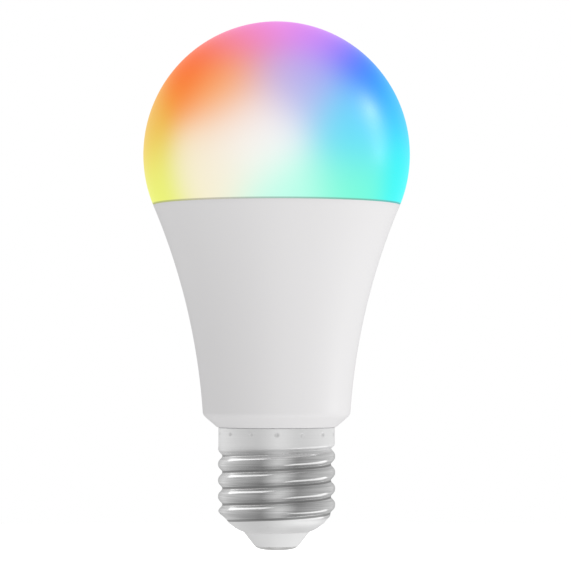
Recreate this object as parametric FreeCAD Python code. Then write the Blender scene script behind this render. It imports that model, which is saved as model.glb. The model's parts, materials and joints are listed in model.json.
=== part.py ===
import FreeCAD, Part
import math
import os

from FreeCAD import Rotation, Vector

# A 60 mm screw-in smart lamp, in millimetres. +Z points up from the cap to the globe, and the
# origin is the tip of the centre contact, on the lamp's axis. The lamp is a plastic-clad
# aluminium housing with an opal globe above it and a 27 mm screw cap below it. Inside are a
# round LED board, an upright driver board and a radio module.

# Outside of the lamp
globe_diameter = 60.0
overall_length = 118.7
seam_z = 77.4  # where the globe meets the housing
seam_gap = 0.22  # the fine shadow line between the two
foot_radius = 16.55  # the lower end of the flared wall
foot_z = 30.2
flare_curve_radius = 144.0  # the wall's hollow curve, seen from the side
underside_radius = 13.35  # the chamfer below the foot ends here
underside_z = 27.45
foot_rounding = 0.9

# Walls
globe_wall = 1.4
housing_wall = 1.5
liner_wall = 0.8
cap_sheet = 0.3

# The screw cap: a rolled 27 mm lamp thread, seven turns to the inch
crest_radius = 13.15
thread_root_radius = 12.2
thread_pitch = 25.4 / 7
first_crest_z = 10.1  # height of a crest on the +X side
crest_flatness = 0.18  # makes the crests a little broader than the grooves
thread_bottom_z = 6.7
thread_full_z = 8.9
thread_fade_z = 22.4
thread_top_z = 23.9
collar_radius = 13.08
collar_lap = 0.02  # the collar's sheet is this much thicker than the thread's, each side
collar_top_z = 27.38
dimple_count = 14
dimple_z = 25.95
dimple_ball_radius = 0.6
dimple_depth = 0.28

# The cap's bowl, the insulator in it and the contact
bowl_top_radius = 11.2
bowl_mouth_radius = 7.4
bowl_mouth_z = 4.0
bowl_curve_radius = 7.5
insulator_tip_radius = 5.15
insulator_tip_z = 0.75
insulator_top_z = 6.6
contact_radius = 4.75
contact_flat_radius = 2.6
contact_shank_radius = 1.1
contact_shank_top_z = 7.6

# The housing's neck, inside the cap
neck_clearance = 0.08
neck_bore_radius = 10.0
neck_bottom_z = 9.7
housing_floor_z = 28.9
rail_gap = 0.1
rail_width = 1.0
rail_depth = 1.9

# Globe rim and its adhesive
skirt_bottom_z = 73.2
skirt_wall = 1.3
skirt_clearance = 0.1
rim_thickness = 1.2
adhesive_bottom_z = 74.1
adhesive_top_z = 77.0

# Aluminium liner and LED board
liner_bottom_z = 31.8
liner_mouth_radius = 13.2
liner_top_z = 72.6
shelf_top_z = 71.0
shelf_thickness = 1.0
shelf_inner_radius = 18.2
paste_thickness = 0.1
led_board_thickness = 1.0
led_board_radius = 22.3
led_board_z = shelf_top_z + paste_thickness
led_face_z = led_board_z + led_board_thickness
screw_circle_radius = 20.0
screw_angles = (90.0, 210.0, 330.0)
boss_radius = 1.9
boss_depth = 5.5
screw_radius = 0.95
screw_length = 5.6
screw_head_radius = 1.85
screw_head_height = 1.2
antenna_slot_width = 16.4
antenna_slot_depth = 1.9

# Light emitters on the LED board
white_led = Vector(3.5, 2.8, 0.7)
white_window = Vector(2.7, 2.1, 0.42)
white_ring_radius = 15.9
white_pairs = 7  # warm and cool emitters take turns
colour_led = Vector(5.0, 5.0, 1.5)
colour_window_radius = 2.05
colour_window_depth = 0.9
colour_ring_radius = 10.8
colour_count = 6
terminal = Vector(0.35, 0.7, 0.12)

# Driver board, upright in the XZ plane
driver_thickness = 1.2
driver_bottom_z = 10.6
driver_top_z = 69.2
tail_half_width = 9.3
driver_half_width = 12.3
shoulder_bottom_z = 29.4
shoulder_top_z = 32.4
driver_face = driver_thickness / 2

# Pin header between the two boards
header_pins_count = 6
pin_pitch = 2.54
pin_side = 0.6
header_y = 1.9
header_bend_z = 67.6
header_block = Vector(15.4, 2.4, 2.2)
pin_hole_radius = 0.5

# Radio module, upright in front of the driver board
module_thickness = 0.8
module_width = 15.0
module_bottom_z = 56.0
module_top_z = 79.6
module_y = -4.0
module_pins_z = 58.2
module_pins_count = 5

# Leads
lead_radius = 0.65
strand_radius = 0.3

globe_radius = globe_diameter / 2
globe_centre_z = overall_length - globe_radius
seam_radius = math.sqrt(globe_radius**2 - (globe_centre_z - seam_z) ** 2)
axis_point = Vector(0, 0, 0)
up = Vector(0, 0, 1)
thread_end_radius = collar_radius - collar_lap
collar_inner_radius = thread_end_radius - cap_sheet - collar_lap
neck_radius = collar_inner_radius - neck_clearance
liner_depth = housing_wall + liner_wall


# Profiles and small shapes


def at(radius, z):
    return Vector(radius, 0, z)


def edges_along(start, steps):
    """Edges from start. A step is one point of a straight run, or two points of an arc."""
    edges = []
    for step in steps:
        if isinstance(step, Vector):
            edges.append(Part.makeLine(start, step))
            start = step
        else:
            edges.append(Part.Arc(start, step[0], step[1]).toShape())
            start = step[1]
    return edges


def turned(start, *steps):
    """The solid of revolution about the lamp's axis of a closed outline in the XZ plane."""
    outline = Part.Wire(edges_along(start, [*steps, start]))
    return Part.Face(outline).revolve(axis_point, up, 360)


def block(size, centre):
    """A box of that size, with its centre there."""
    return Part.makeBox(size.x, size.y, size.z, centre - size * 0.5)


def block_on(size, x, y, z):
    """A box that stands on height z, centred on x and y."""
    return Part.makeBox(size.x, size.y, size.z, Vector(x - size.x / 2, y - size.y / 2, z))


def cylinder(radius, bottom, height, direction=up):
    return Part.makeCylinder(radius, height, bottom, direction)


def round_plate(radius, low_z, high_z, inner_radius=0.0):
    plate = cylinder(radius, at(0, low_z), high_z - low_z)
    if inner_radius:
        plate = plate.cut(cylinder(inner_radius, at(0, low_z - 1), high_z - low_z + 2))
    return plate


def softened(shape, radius, choose):
    """The shape with the edges that choose picks rounded."""
    return shape.makeFillet(radius, [edge for edge in shape.Edges if choose(edge)])


def ring_at(radius, z):
    """Picks the edges that are a full circle of that radius about the axis, at that height."""

    def is_ring(edge):
        curve = edge.Curve
        return (
            isinstance(curve, Part.Circle)
            and abs(curve.Radius - radius) < 0.01
            and abs(curve.Center.z - z) < 0.01
        )

    return is_ring


def around(shape, radius, angle):
    """A copy moved out to that radius along +X, then turned about the axis."""
    moved = shape.copy()
    moved.translate(Vector(radius, 0, 0))
    moved.rotate(axis_point, up, angle)
    return moved


def even_angles(count, first=0.0):
    return [first + 360.0 * n / count for n in range(count)]


def row(count, pitch):
    """Evenly spaced places, centred on 0."""
    return [(n - (count - 1) / 2) * pitch for n in range(count)]


def group(shapes):
    return Part.makeCompound([solid for shape in shapes for solid in shape.Solids])


def bent_lead(points, radius):
    """A round lead along straight runs joined by tangent arcs, each as large as its runs allow."""
    edges = []
    start = points[0]
    for before, corner, after in zip(points, points[1:], points[2:]):
        back = (before - corner).normalize()
        onward = (after - corner).normalize()
        reach = 0.45 * min((before - corner).Length, (after - corner).Length)
        half_angle = back.getAngle(onward) / 2
        bend = reach * math.tan(half_angle)
        inward = (back + onward).normalize()
        centre = corner + inward * (bend / math.sin(half_angle))
        middle = centre - inward * bend
        edges.append(Part.makeLine(start, corner + back * reach))
        edges.append(Part.Arc(corner + back * reach, middle, corner + onward * reach).toShape())
        start = corner + onward * reach
    edges.append(Part.makeLine(start, points[-1]))
    direction = points[1] - points[0]
    section = Part.Wire(Part.makeCircle(radius, points[0], direction))
    return Part.Wire(edges).makePipeShell([section], True, False)


# The flared wall of the housing


def flare_centre():
    """The centre of the arc that runs from the foot to the seam, outside the lamp."""
    foot = at(foot_radius, foot_z)
    chord = at(seam_radius, seam_z) - foot
    reach = math.sqrt(flare_curve_radius**2 - (chord.Length / 2) ** 2)
    outward = Vector(chord.z, 0, -chord.x).normalize()
    return foot + chord * 0.5 + outward * reach


flare_middle = flare_centre()


def flare_at(z, depth=0.0):
    """The point at height z of the surface that lies depth under the housing's skin."""
    reach = flare_curve_radius + depth
    return at(flare_middle.x - math.sqrt(reach**2 - (z - flare_middle.z) ** 2), z)


def flare_to(from_z, to_z, depth=0.0):
    """The arc step from one height to another along that surface."""
    return flare_at((from_z + to_z) / 2, depth), flare_at(to_z, depth)


# The rolled thread of the screw cap


def smooth_step(value, low, high):
    share = min(1.0, max(0.0, (value - low) / (high - low)))
    return share * share * (3 - 2 * share)


def thread_radius(angle, z, inset):
    """Radius of the rolled sheet at an angle in degrees and a height, inset from its outer skin."""
    phase = 2 * math.pi * (z - first_crest_z) / thread_pitch - math.radians(angle)
    wave = math.cos(phase) - crest_flatness * (math.cos(2 * phase) - 1)
    below = max(0.0, thread_full_z - z) / (thread_full_z - thread_bottom_z)
    root = thread_root_radius - (thread_root_radius - bowl_top_radius) * below**2
    swell = (crest_radius - thread_root_radius) * (wave + 1) / 2
    rolled = root + swell * smooth_step(z, thread_bottom_z, thread_full_z)
    to_collar = smooth_step(z, thread_fade_z, thread_top_z)
    return rolled + (thread_end_radius - rolled) * to_collar - inset


def thread_skin(inset, low_z, high_z):
    """A closed sleeve face of the thread between two heights."""
    rows = int((high_z - low_z) / 0.3) + 1
    heights = [low_z + (high_z - low_z) * n / rows for n in range(rows + 1)]
    grid = []
    for angle in even_angles(36) + [360.0]:
        turn = math.radians(angle % 360)
        radii = [thread_radius(angle, z, inset) for z in heights]
        grid.append([Vector(r * math.cos(turn), r * math.sin(turn), z) for r, z in zip(radii, heights)])
    surface = Part.BSplineSurface()
    surface.interpolate(grid)
    return surface.toShape()


def end_wire(skin, z):
    """The sleeve's closed edge at height z."""
    at_height = [edge for edge in skin.Edges if abs(edge.CenterOfMass.z - z) < 0.05]
    return Part.Wire([edge for edge in at_height if edge.isClosed()])


def threaded_core(inset, low_z, high_z):
    """A full core with the thread on its side."""
    skin = thread_skin(inset, low_z, high_z)
    ends = [Part.Face(end_wire(skin, z)) for z in (low_z, high_z)]
    return closed_solid([skin, *ends])


def threaded_sleeve(low_z, high_z):
    """The thin rolled sheet between its outer and inner skins."""
    outer = thread_skin(0.0, low_z, high_z)
    inner = thread_skin(cap_sheet, low_z, high_z)
    ends = [Part.Face(end_wire(outer, z)).cut(Part.Face(end_wire(inner, z))) for z in (low_z, high_z)]
    return closed_solid([outer, inner, *[face for end in ends for face in end.Faces]])


def closed_solid(faces):
    shell = Part.makeShell(faces)
    shell.sewShape()
    solid = Part.makeSolid(Part.makeShell(shell.Faces))
    if solid.Volume < 0:
        solid.reverse()
    return solid


def dimple_balls(radius):
    """Balls that press the collar into the neck, all round it."""
    out = collar_radius + dimple_ball_radius - dimple_depth
    ball = Part.makeSphere(radius, at(0, dimple_z))
    return [around(ball, out, angle) for angle in even_angles(dimple_count, 270.0)]


# Outer pieces


def diffuser_globe():
    inner = globe_radius - globe_wall
    rim_z = seam_z + seam_gap
    rim_radius = math.sqrt(globe_radius**2 - (globe_centre_z - rim_z) ** 2)
    skirt_radius = flare_at(skirt_bottom_z, housing_wall).x - skirt_clearance
    flange_z = rim_z + rim_thickness
    flange_radius = math.sqrt(inner**2 - (globe_centre_z - flange_z) ** 2)
    middle = math.sqrt(0.5)
    return turned(
        at(0, overall_length),
        (
            at(globe_radius * middle, globe_centre_z + globe_radius * middle),
            at(globe_radius, globe_centre_z),
        ),
        (
            at(math.sqrt(globe_radius**2 - 36), globe_centre_z - 6),
            at(rim_radius, rim_z),
        ),
        at(skirt_radius, rim_z),
        at(skirt_radius, skirt_bottom_z),
        at(skirt_radius - skirt_wall, skirt_bottom_z),
        at(skirt_radius - skirt_wall, flange_z),
        at(flange_radius, flange_z),
        (at(math.sqrt(inner**2 - 25), globe_centre_z - 5), at(inner, globe_centre_z)),
        (at(inner * middle, globe_centre_z + inner * middle), at(0, globe_centre_z + inner)),
    )


def globe_adhesive():
    skirt_radius = flare_at(skirt_bottom_z, housing_wall).x - skirt_clearance
    return turned(
        at(skirt_radius, adhesive_bottom_z),
        flare_at(adhesive_bottom_z, housing_wall),
        flare_to(adhesive_bottom_z, adhesive_top_z, housing_wall),
        at(skirt_radius, adhesive_top_z),
    )


def board_rails():
    """Two slots in the neck that hold the driver board's edges."""
    size = Vector(rail_depth, rail_width, housing_floor_z - neck_bottom_z - 1)
    y = driver_face + rail_gap + rail_width / 2
    x = neck_bore_radius - rail_depth / 2 + 0.25
    return [block_on(size, sx * x, sy * y, neck_bottom_z + 1) for sx in (-1, 1) for sy in (-1, 1)]


def housing_shell():
    inner_foot_z = foot_z + 1.0
    wall = turned(
        at(seam_radius, seam_z),
        flare_to(seam_z, foot_z),
        at(underside_radius, underside_z),
        at(neck_radius, underside_z),
        at(neck_radius, thread_top_z),
        at(neck_bore_radius, thread_top_z),
        at(neck_bore_radius, housing_floor_z),
        at(underside_radius - 0.7, housing_floor_z),
        flare_at(inner_foot_z, housing_wall),
        flare_to(inner_foot_z, seam_z, housing_wall),
    )
    wall = softened(wall, foot_rounding, ring_at(foot_radius, foot_z))
    wall = softened(wall, 0.35, ring_at(underside_radius, underside_z))
    neck = threaded_core(cap_sheet + neck_clearance, neck_bottom_z, thread_top_z)
    neck = neck.cut(cylinder(neck_bore_radius, at(0, 0), thread_top_z + 1))
    strand_groove = around(block_on(Vector(1.9, 1.0, 5.2), 0, 0, neck_bottom_z - 0.2), 11.95, 60.0)
    body = wall.fuse([neck, *board_rails()])
    body = body.cut([strand_groove, *dimple_balls(dimple_ball_radius + cap_sheet + 0.02)])
    return body


def boss_places():
    return [around(Part.Vertex(0, 0, 0), screw_circle_radius, angle).Point for angle in screw_angles]


def heatsink_cup():
    cup = turned(
        flare_at(liner_top_z, housing_wall),
        flare_to(liner_top_z, liner_bottom_z, housing_wall),
        at(liner_mouth_radius, liner_bottom_z),
        at(liner_mouth_radius, liner_bottom_z + liner_wall),
        flare_at(liner_bottom_z + liner_wall, liner_depth),
        flare_to(liner_bottom_z + liner_wall, liner_top_z, liner_depth),
    )
    envelope = turned(
        at(0, liner_top_z),
        flare_at(liner_top_z, housing_wall),
        flare_to(liner_top_z, liner_bottom_z, housing_wall),
        at(0, liner_bottom_z),
    )
    shelf = round_plate(24.0, shelf_top_z - shelf_thickness, shelf_top_z, shelf_inner_radius)
    bosses = [cylinder(boss_radius, p + at(0, shelf_top_z - boss_depth), boss_depth) for p in boss_places()]
    pilots = [cylinder(screw_radius - 0.1, p + at(0, shelf_top_z - 5), 6) for p in boss_places()]
    return cup.fuse([extra.common(envelope) for extra in [shelf, *bosses]]).cut(pilots)


def bowl_centre():
    """The centre of the arc that rounds the cap in from the thread to its mouth."""
    mouth = at(bowl_mouth_radius, bowl_mouth_z)
    chord = at(bowl_top_radius, thread_bottom_z) - mouth
    reach = math.sqrt(bowl_curve_radius**2 - (chord.Length / 2) ** 2)
    inward = Vector(-chord.z, 0, chord.x).normalize()
    return mouth + chord * 0.5 + inward * reach


bowl_middle = bowl_centre()


def bowl_at(z, depth=0.0):
    """The point at height z of the surface that lies depth inside the cap's bowl."""
    reach = bowl_curve_radius - depth
    return at(bowl_middle.x + math.sqrt(reach**2 - (bowl_middle.z - z) ** 2), z)


def bowl_floor(radius, depth=0.0):
    """The point at that radius of the same surface."""
    reach = bowl_curve_radius - depth
    return at(radius, bowl_middle.z - math.sqrt(reach**2 - (radius - bowl_middle.x) ** 2))


def screw_cap():
    bowl = turned(
        bowl_at(thread_bottom_z, -collar_lap),
        (bowl_at(5.6, -collar_lap), bowl_floor(bowl_mouth_radius, -collar_lap)),
        bowl_floor(bowl_mouth_radius, cap_sheet + collar_lap),
        (bowl_at(5.8, cap_sheet + collar_lap), bowl_at(thread_bottom_z, cap_sheet + collar_lap)),
    )
    thread = threaded_sleeve(thread_bottom_z, thread_top_z)
    collar = round_plate(collar_radius, thread_top_z, collar_top_z, collar_inner_radius)
    inside = round_plate(collar_radius - 0.05, thread_top_z, collar_top_z)
    bumps = [ball.common(inside) for ball in dimple_balls(dimple_ball_radius + cap_sheet)]
    collar = collar.fuse(bumps).cut(dimple_balls(dimple_ball_radius))
    return collar.fuse([thread, bowl])


def base_insulator():
    depth = cap_sheet + collar_lap
    mouth = bowl_floor(bowl_mouth_radius, depth)
    return turned(
        at(contact_shank_radius, insulator_tip_z),
        at(insulator_tip_radius - 0.3, insulator_tip_z),
        at(insulator_tip_radius, insulator_tip_z + 0.35),
        at(bowl_mouth_radius - 0.02, bowl_mouth_z - 0.12),
        at(bowl_mouth_radius - 0.02, mouth.z),
        mouth,
        (bowl_at((mouth.z + insulator_top_z) / 2, depth), bowl_at(insulator_top_z, depth)),
        at(8.4, insulator_top_z),
        at(7.0, insulator_top_z - 1.1),
        at(3.2, insulator_top_z - 1.1),
        at(2.6, insulator_top_z),
        at(contact_shank_radius, insulator_top_z),
    )


def centre_contact():
    """A domed rivet whose head covers the insulator's tip."""
    return turned(
        at(0, 0),
        at(contact_flat_radius, 0),
        (at(contact_radius * 0.82, 0.2), at(contact_radius, insulator_tip_z - 0.12)),
        at(contact_radius, insulator_tip_z),
        at(contact_shank_radius, insulator_tip_z),
        at(contact_shank_radius, contact_shank_top_z - 0.3),
        at(contact_shank_radius - 0.3, contact_shank_top_z),
        at(0, contact_shank_top_z),
    )


# LED board and what is on it


def thermal_paste():
    holes = [cylinder(1.3, p + at(0, shelf_top_z - 1), 2) for p in boss_places()]
    return round_plate(22.1, shelf_top_z, led_board_z, shelf_inner_radius + 0.3).cut(holes)


def header_places():
    return [Vector(x, header_y, 0) for x in row(header_pins_count, pin_pitch)]


def led_board():
    disc = round_plate(led_board_radius, led_board_z, led_face_z)
    slot = block_on(Vector(antenna_slot_width, antenna_slot_depth, 4), 0, module_y, led_board_z - 1)
    screws = [cylinder(1.25, p + at(0, led_board_z - 1), 4) for p in boss_places()]
    pins = [cylinder(pin_hole_radius, p + at(0, led_board_z - 1), 4) for p in header_places()]
    key = cylinder(1.2, Vector(-led_board_radius - 0.2, 0, led_board_z - 1), 4)
    return disc.cut([slot, key, *screws, *pins])


def led_board_screws():
    """Pan-head screws with a crossed recess."""
    under_head = led_face_z
    shank = cylinder(screw_radius - 0.12, at(0, under_head - screw_length + 0.9), screw_length - 0.9)
    point = Part.makeCone(0.25, screw_radius - 0.12, 0.9, at(0, under_head - screw_length))
    head = cylinder(screw_head_radius, at(0, under_head), screw_head_height)
    head = softened(head, 0.55, ring_at(screw_head_radius, under_head + screw_head_height))
    recess_z = under_head + screw_head_height - 0.65
    recess = [block_on(size, 0, 0, recess_z) for size in (Vector(2.2, 0.5, 1), Vector(0.5, 2.2, 1))]
    screw = shank.fuse([point, head]).cut(recess)
    return group([around(screw, screw_circle_radius, angle) for angle in screw_angles])


def on_ring(shape, radius, angles):
    return group([around(shape, radius, angle) for angle in angles])


white_step = 360.0 / white_pairs
warm_angles = even_angles(white_pairs, white_step / 4)
cool_angles = even_angles(white_pairs, white_step * 3 / 4)
colour_angles = even_angles(colour_count)


def white_frame():
    frame = block_on(white_led, 0, 0, led_face_z)
    window = block_on(white_window, 0, 0, led_face_z + white_led.z - white_window.z)
    return frame.cut(softened(window, 0.5, lambda edge: edge.Length < white_window.z + 0.01))


def white_phosphor():
    """The yellow filling of a white emitter, just below the frame's edge."""
    size = Vector(white_window.x, white_window.y, white_window.z - 0.05)
    window = block_on(size, 0, 0, led_face_z + white_led.z - white_window.z)
    return softened(window, 0.5, lambda edge: edge.Length < white_window.z + 0.01)


def colour_frame():
    frame = block_on(colour_led, 0, 0, led_face_z)
    floor_z = led_face_z + colour_led.z - colour_window_depth
    window = Part.makeCone(
        colour_window_radius - 0.3, colour_window_radius, colour_window_depth, at(0, floor_z)
    )
    key = Part.makeBox(1, 1, 1, Vector(1.9, 1.9, led_face_z + colour_led.z - 0.25))
    return frame.cut([window, key])


def colour_dies():
    """Three bare dies on the floor of a colour emitter's window."""
    floor_z = led_face_z + colour_led.z - colour_window_depth
    die = Vector(0.4, 0.4, 0.15)
    return group([block_on(die, 0, y, floor_z) for y in row(3, 1.0)])


def colour_filling():
    floor_z = led_face_z + colour_led.z - colour_window_depth
    height = colour_window_depth - 0.06
    top_radius = colour_window_radius - 0.02
    return Part.makeCone(colour_window_radius - 0.3, top_radius, height, at(0, floor_z)).cut(colour_dies())


def emitter_terminals():
    """Tinned tabs that stick out from under the emitters."""
    white_x = (white_led.x + terminal.x) / 2
    colour_x = (colour_led.x + terminal.x) / 2
    white = [
        around(block_on(terminal, side * white_x, 0, led_face_z), white_ring_radius, angle)
        for angle in warm_angles + cool_angles
        for side in (-1, 1)
    ]
    colour = [
        around(block_on(terminal, side * colour_x, y, led_face_z), colour_ring_radius, angle)
        for angle in colour_angles
        for side in (-1, 1)
        for y in row(3, 1.6)
    ]
    return group(white + colour)


# Driver board and what is on it


def front(size, x, z):
    """A block on the board's front, -Y, centred on x and z."""
    return block(size, Vector(x, -driver_face - size.y / 2, z))


def back(size, x, z):
    """A block on the board's back, +Y, centred on x and z."""
    return block(size, Vector(x, driver_face + size.y / 2, z))


def through_holes():
    """Where leads pass through the driver board: x, z and the side the solder is on."""
    places = [(x, 27.6, 1) for x in (-1.25, 1.25)]  # input capacitor
    places += [(-5.0 + x, 42.6, -1) for x in (-1.25, 1.25)]  # output capacitor
    places += [(5.6, z, -1) for z in (44.6, 55.4)]  # drum inductor
    places += [(3.0, z, -1) for z in (15.2, 26.6)]  # fusible resistor
    places += [(x, z, 1) for x in (-5.0, 5.0) for z in (37.6, 49.4)]  # transformer
    places += [(-4.2, 12.8, 1), (4.2, 12.8, -1)]  # mains leads
    return places


def driver_board():
    corners = [
        (-tail_half_width, driver_bottom_z),
        (tail_half_width, driver_bottom_z),
        (tail_half_width, shoulder_bottom_z),
        (driver_half_width, shoulder_top_z),
        (driver_half_width, driver_top_z),
        (-driver_half_width, driver_top_z),
        (-driver_half_width, shoulder_top_z),
        (-tail_half_width, shoulder_bottom_z),
    ]
    outline = [Vector(x, -driver_face, z) for x, z in corners]
    board = Part.Face(Part.makePolygon(outline + outline[:1])).extrude(Vector(0, driver_thickness, 0))
    holes = [(x, z, 0.42) for x, z, side in through_holes()]
    holes += [(x, header_bend_z, pin_hole_radius) for x in row(header_pins_count, pin_pitch)]
    holes += [(x, module_pins_z, pin_hole_radius) for x in row(module_pins_count, pin_pitch)]
    return board.cut([cylinder(r, Vector(x, -3, z), 6, Vector(0, 1, 0)) for x, z, r in holes])


def can_outline(radius, length):
    """A capacitor can with a rolled groove near its open end, standing on z = 0."""
    return turned(
        at(0, 0),
        at(radius - 0.5, 0),
        at(radius, 0.4),
        at(radius, 1.2),
        (at(radius - 0.35, 1.55), at(radius, 1.9)),
        at(radius, length - 0.5),
        (at(radius - 0.15, length - 0.15), at(radius - 0.5, length)),
        at(0, length),
    )


def can_leads(spread, x, z, y):
    """Two wires from the can's open end down to the board and through it, at side y."""
    side = math.copysign(1, y)
    leads = []
    for dx in (-spread, spread):
        foot = Vector(x + dx, -side * (driver_face + 0.9), z)
        bend = Vector(x + dx, y, z)
        top = Vector(x + dx, y, z + 2.0)
        leads.append(bent_lead([foot, bend, top], strand_radius))
    return leads


def capacitor(radius, length, x, y, z):
    """An electrolytic can that stands parallel to the board, above its leads' holes at height z."""
    can = can_outline(radius, length)
    can.translate(Vector(x, y, z + 2.0))
    return group([can, *can_leads(1.25, x, z, y)])


def capacitor_sleeve(radius, length, x, y, z):
    """The shrunk sleeve over the can, drawn in over its closed end."""
    sheet = 0.12
    sleeve = turned(
        at(radius - 1.0, 2.1),
        at(radius + sheet, 2.1),
        at(radius + sheet, length - 0.4),
        at(radius - 0.35, length + sheet),
        at(radius - 1.0, length + sheet),
    ).cut(can_outline(radius, length))
    sleeve.translate(Vector(x, y, z + 2.0))
    return sleeve


input_can = (3.9, 11.0, 0.0, -5.4, 27.6)
output_can = (3.9, 11.5, -5.0, 6.0, 42.6)


def input_capacitor():
    """The mains capacitor hangs down into the neck, so its open end is uppermost."""
    can, leads = upside_down(capacitor(*input_can).Solids[0]), can_leads(1.25, 0.0, 27.6, -5.4)
    return group([can, *[upside_down(lead) for lead in leads]])


def upside_down(shape):
    """A copy turned over about a line through the input capacitor's lead holes."""
    turned_over = shape.copy()
    turned_over.rotate(Vector(0, 0, input_can[4]), Vector(0, 1, 0), 180)
    return turned_over


transformer_at = Vector(0, -driver_face - 5.2, 43.5)


def near_transformer(size, dx=0.0, dy=0.0, dz=0.0):
    return block(size, transformer_at + Vector(dx, dy, dz))


def transformer_core():
    """Two E-shaped ferrite halves, as one closed frame with a centre leg."""
    windows = [near_transformer(Vector(3.1, 7, 7.2), dx) for dx in (-3.0, 3.0)]
    return near_transformer(Vector(11.0, 5.0, 10.4)).cut(windows)


def transformer_bobbin():
    """Two flanges and a barrel on the centre leg, with a foot on the board at each end."""
    flanges = [near_transformer(Vector(5.9, 8.2, 0.8), dz=dz) for dz in (-3.15, 3.15)]
    barrel = near_transformer(Vector(3.9, 6.0, 7.0))
    leg = near_transformer(Vector(2.96, 5.06, 12))
    feet = [near_transformer(Vector(12.4, 2.0, 1.2), dy=4.2, dz=dz) for dz in (-5.9, 5.9)]
    posts = [near_transformer(Vector(5.9, 1.2, 2.8), dy=3.7, dz=dz) for dz in (-4.6, 4.6)]
    return barrel.fuse([*flanges, *feet, *posts]).cut(leg)


def transformer_winding():
    """The taped winding between the flanges."""
    coil = near_transformer(Vector(5.9, 7.8, 5.46))
    coil = softened(coil, 0.8, lambda edge: abs(edge.Length - 5.46) < 0.01)
    return coil.cut(near_transformer(Vector(3.94, 6.04, 8)))


def transformer_pins():
    pins = [
        cylinder(strand_radius, Vector(x, -driver_face - 1.0, z), driver_thickness + 1.9, Vector(0, 1, 0))
        for x in (-5.0, 5.0)
        for z in (37.6, 49.4)
    ]
    return group(pins)


inductor_at = Vector(5.6, driver_face + 4.0, 46.4)


def inductor_core():
    """A ferrite drum lying along the board."""
    drum = turned(
        at(0, 0),
        at(3.3, 0),
        at(3.3, 1.2),
        at(1.6, 1.2),
        at(1.6, 6.0),
        at(3.3, 6.0),
        at(3.3, 7.2),
        at(0, 7.2),
    )
    drum.translate(inductor_at)
    return drum


def inductor_winding():
    coil = round_plate(2.9, 1.22, 5.98, 1.62)
    coil = softened(coil, 0.3, ring_at(2.9, 1.22))
    coil = softened(coil, 0.3, ring_at(2.9, 5.98))
    coil.translate(inductor_at)
    return coil


def inductor_leads():
    far = -driver_face - 0.9
    middle = inductor_at + at(0, 3.6)
    ends = []
    for hole_z, drum_z in ((44.6, inductor_at.z), (55.4, inductor_at.z + 7.2)):
        start = Vector(middle.x, far, hole_z)
        corner = Vector(middle.x, middle.y, hole_z)
        ends.append(bent_lead([start, corner, Vector(middle.x, middle.y, drum_z)], strand_radius))
    return ends


def fuse_resistor():
    """A wire-wound fusible resistor standing beside the board on bent leads."""
    x, y, middle_z = 3.0, driver_face + 2.2, 20.9
    body = cylinder(1.6, Vector(x, y, middle_z - 3.6), 7.2)
    body = softened(body, 0.6, lambda edge: isinstance(edge.Curve, Part.Circle))
    leads = []
    for hole_z, end_z in ((15.2, middle_z - 3.6), (26.6, middle_z + 3.6)):
        start = Vector(x, -driver_face - 0.9, hole_z)
        leads.append(bent_lead([start, Vector(x, y, hole_z), Vector(x, y, end_z)], strand_radius))
    return group([body, *leads])


# Surface-mounted packages: size (across, out, up), side of the board, x, z, and leads a side
bridge_package = (Vector(4.0, 2.3, 4.8), back, -6.4, 33.4, 2)
controller_package = (Vector(4.9, 1.5, 3.9), back, 0.0, 37.0, 4)
driver_package = (Vector(9.9, 1.5, 3.9), front, -1.3, 53.4, 8)
diode_package = (Vector(4.3, 2.1, 2.6), back, -6.5, 62.6, 1)
packages = (bridge_package, controller_package, driver_package, diode_package)


def package(size, side, x, z, leads):
    body = side(size, x, z)
    return softened(body, 0.15, lambda edge: abs(edge.Length - size.x) < 0.01)


def chip_leads():
    """Gull-wing tabs above and below every surface-mounted package."""
    tabs = []
    for size, side, x, z, leads in packages:
        width = 0.42 if leads > 1 else 1.3
        for dx in row(leads, size.x / leads):
            for way in (-1, 1):
                tabs.append(side(Vector(width, 0.2, 0.9), x + dx, z + way * (size.z / 2 + 0.45)))
    return group(tabs)


chip_part = Vector(2.0, 0.55, 1.25)
resistor_places = [(back, x, z) for x in (3.6, 7.2, 10.4) for z in (60.6, 63.0)]
resistor_places += [(back, x, 40.8) for x in (2.6, 5.4, 8.2)]
resistor_places += [(front, x, z) for x in (-9.6, 9.6) for z in (38.0, 42.0, 46.0)]
resistor_places += [(back, -5.0, z) for z in (17.0, 19.4)]
capacitor_places = [(back, x, 65.2) for x in (-10.0, 9.6)]
capacitor_places += [(front, x, z) for x in (-9.4, 9.4) for z in (51.6, 55.0)]
capacitor_places += [(back, -9.4, 37.0), (back, 9.4, 33.8)]


def chip_resistors():
    return group([side(chip_part, x, z) for side, x, z in resistor_places])


def chip_capacitors():
    return group([side(Vector(2.0, 0.9, 1.25), x, z) for side, x, z in capacitor_places])


def solder_joints():
    """Cones of solder where leads come through the driver board."""
    joints = []
    for x, z, side in through_holes():
        foot = Vector(x, side * driver_face, z)
        cone = Part.makeCone(0.85, 0.4, 0.7, foot, Vector(0, side, 0))
        joints.append(cone.cut(cylinder(strand_radius + 0.01, foot - Vector(0, 2, 0), 4, Vector(0, 1, 0))))
    for x in row(header_pins_count, pin_pitch):
        joints.append(pin_joint(Vector(x, -driver_face, header_bend_z), Vector(0, -1, 0)))
        joints.append(pin_joint(Vector(x, header_y, led_face_z), up))
    return group(joints)


def pin_joint(foot, direction):
    cone = Part.makeCone(0.85, 0.5, 0.7, foot, direction)
    along = Vector(abs(direction.x), abs(direction.y), abs(direction.z)) * 4
    return cone.cut(block(Vector(pin_side, pin_side, pin_side) + along, foot))


# Headers


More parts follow.
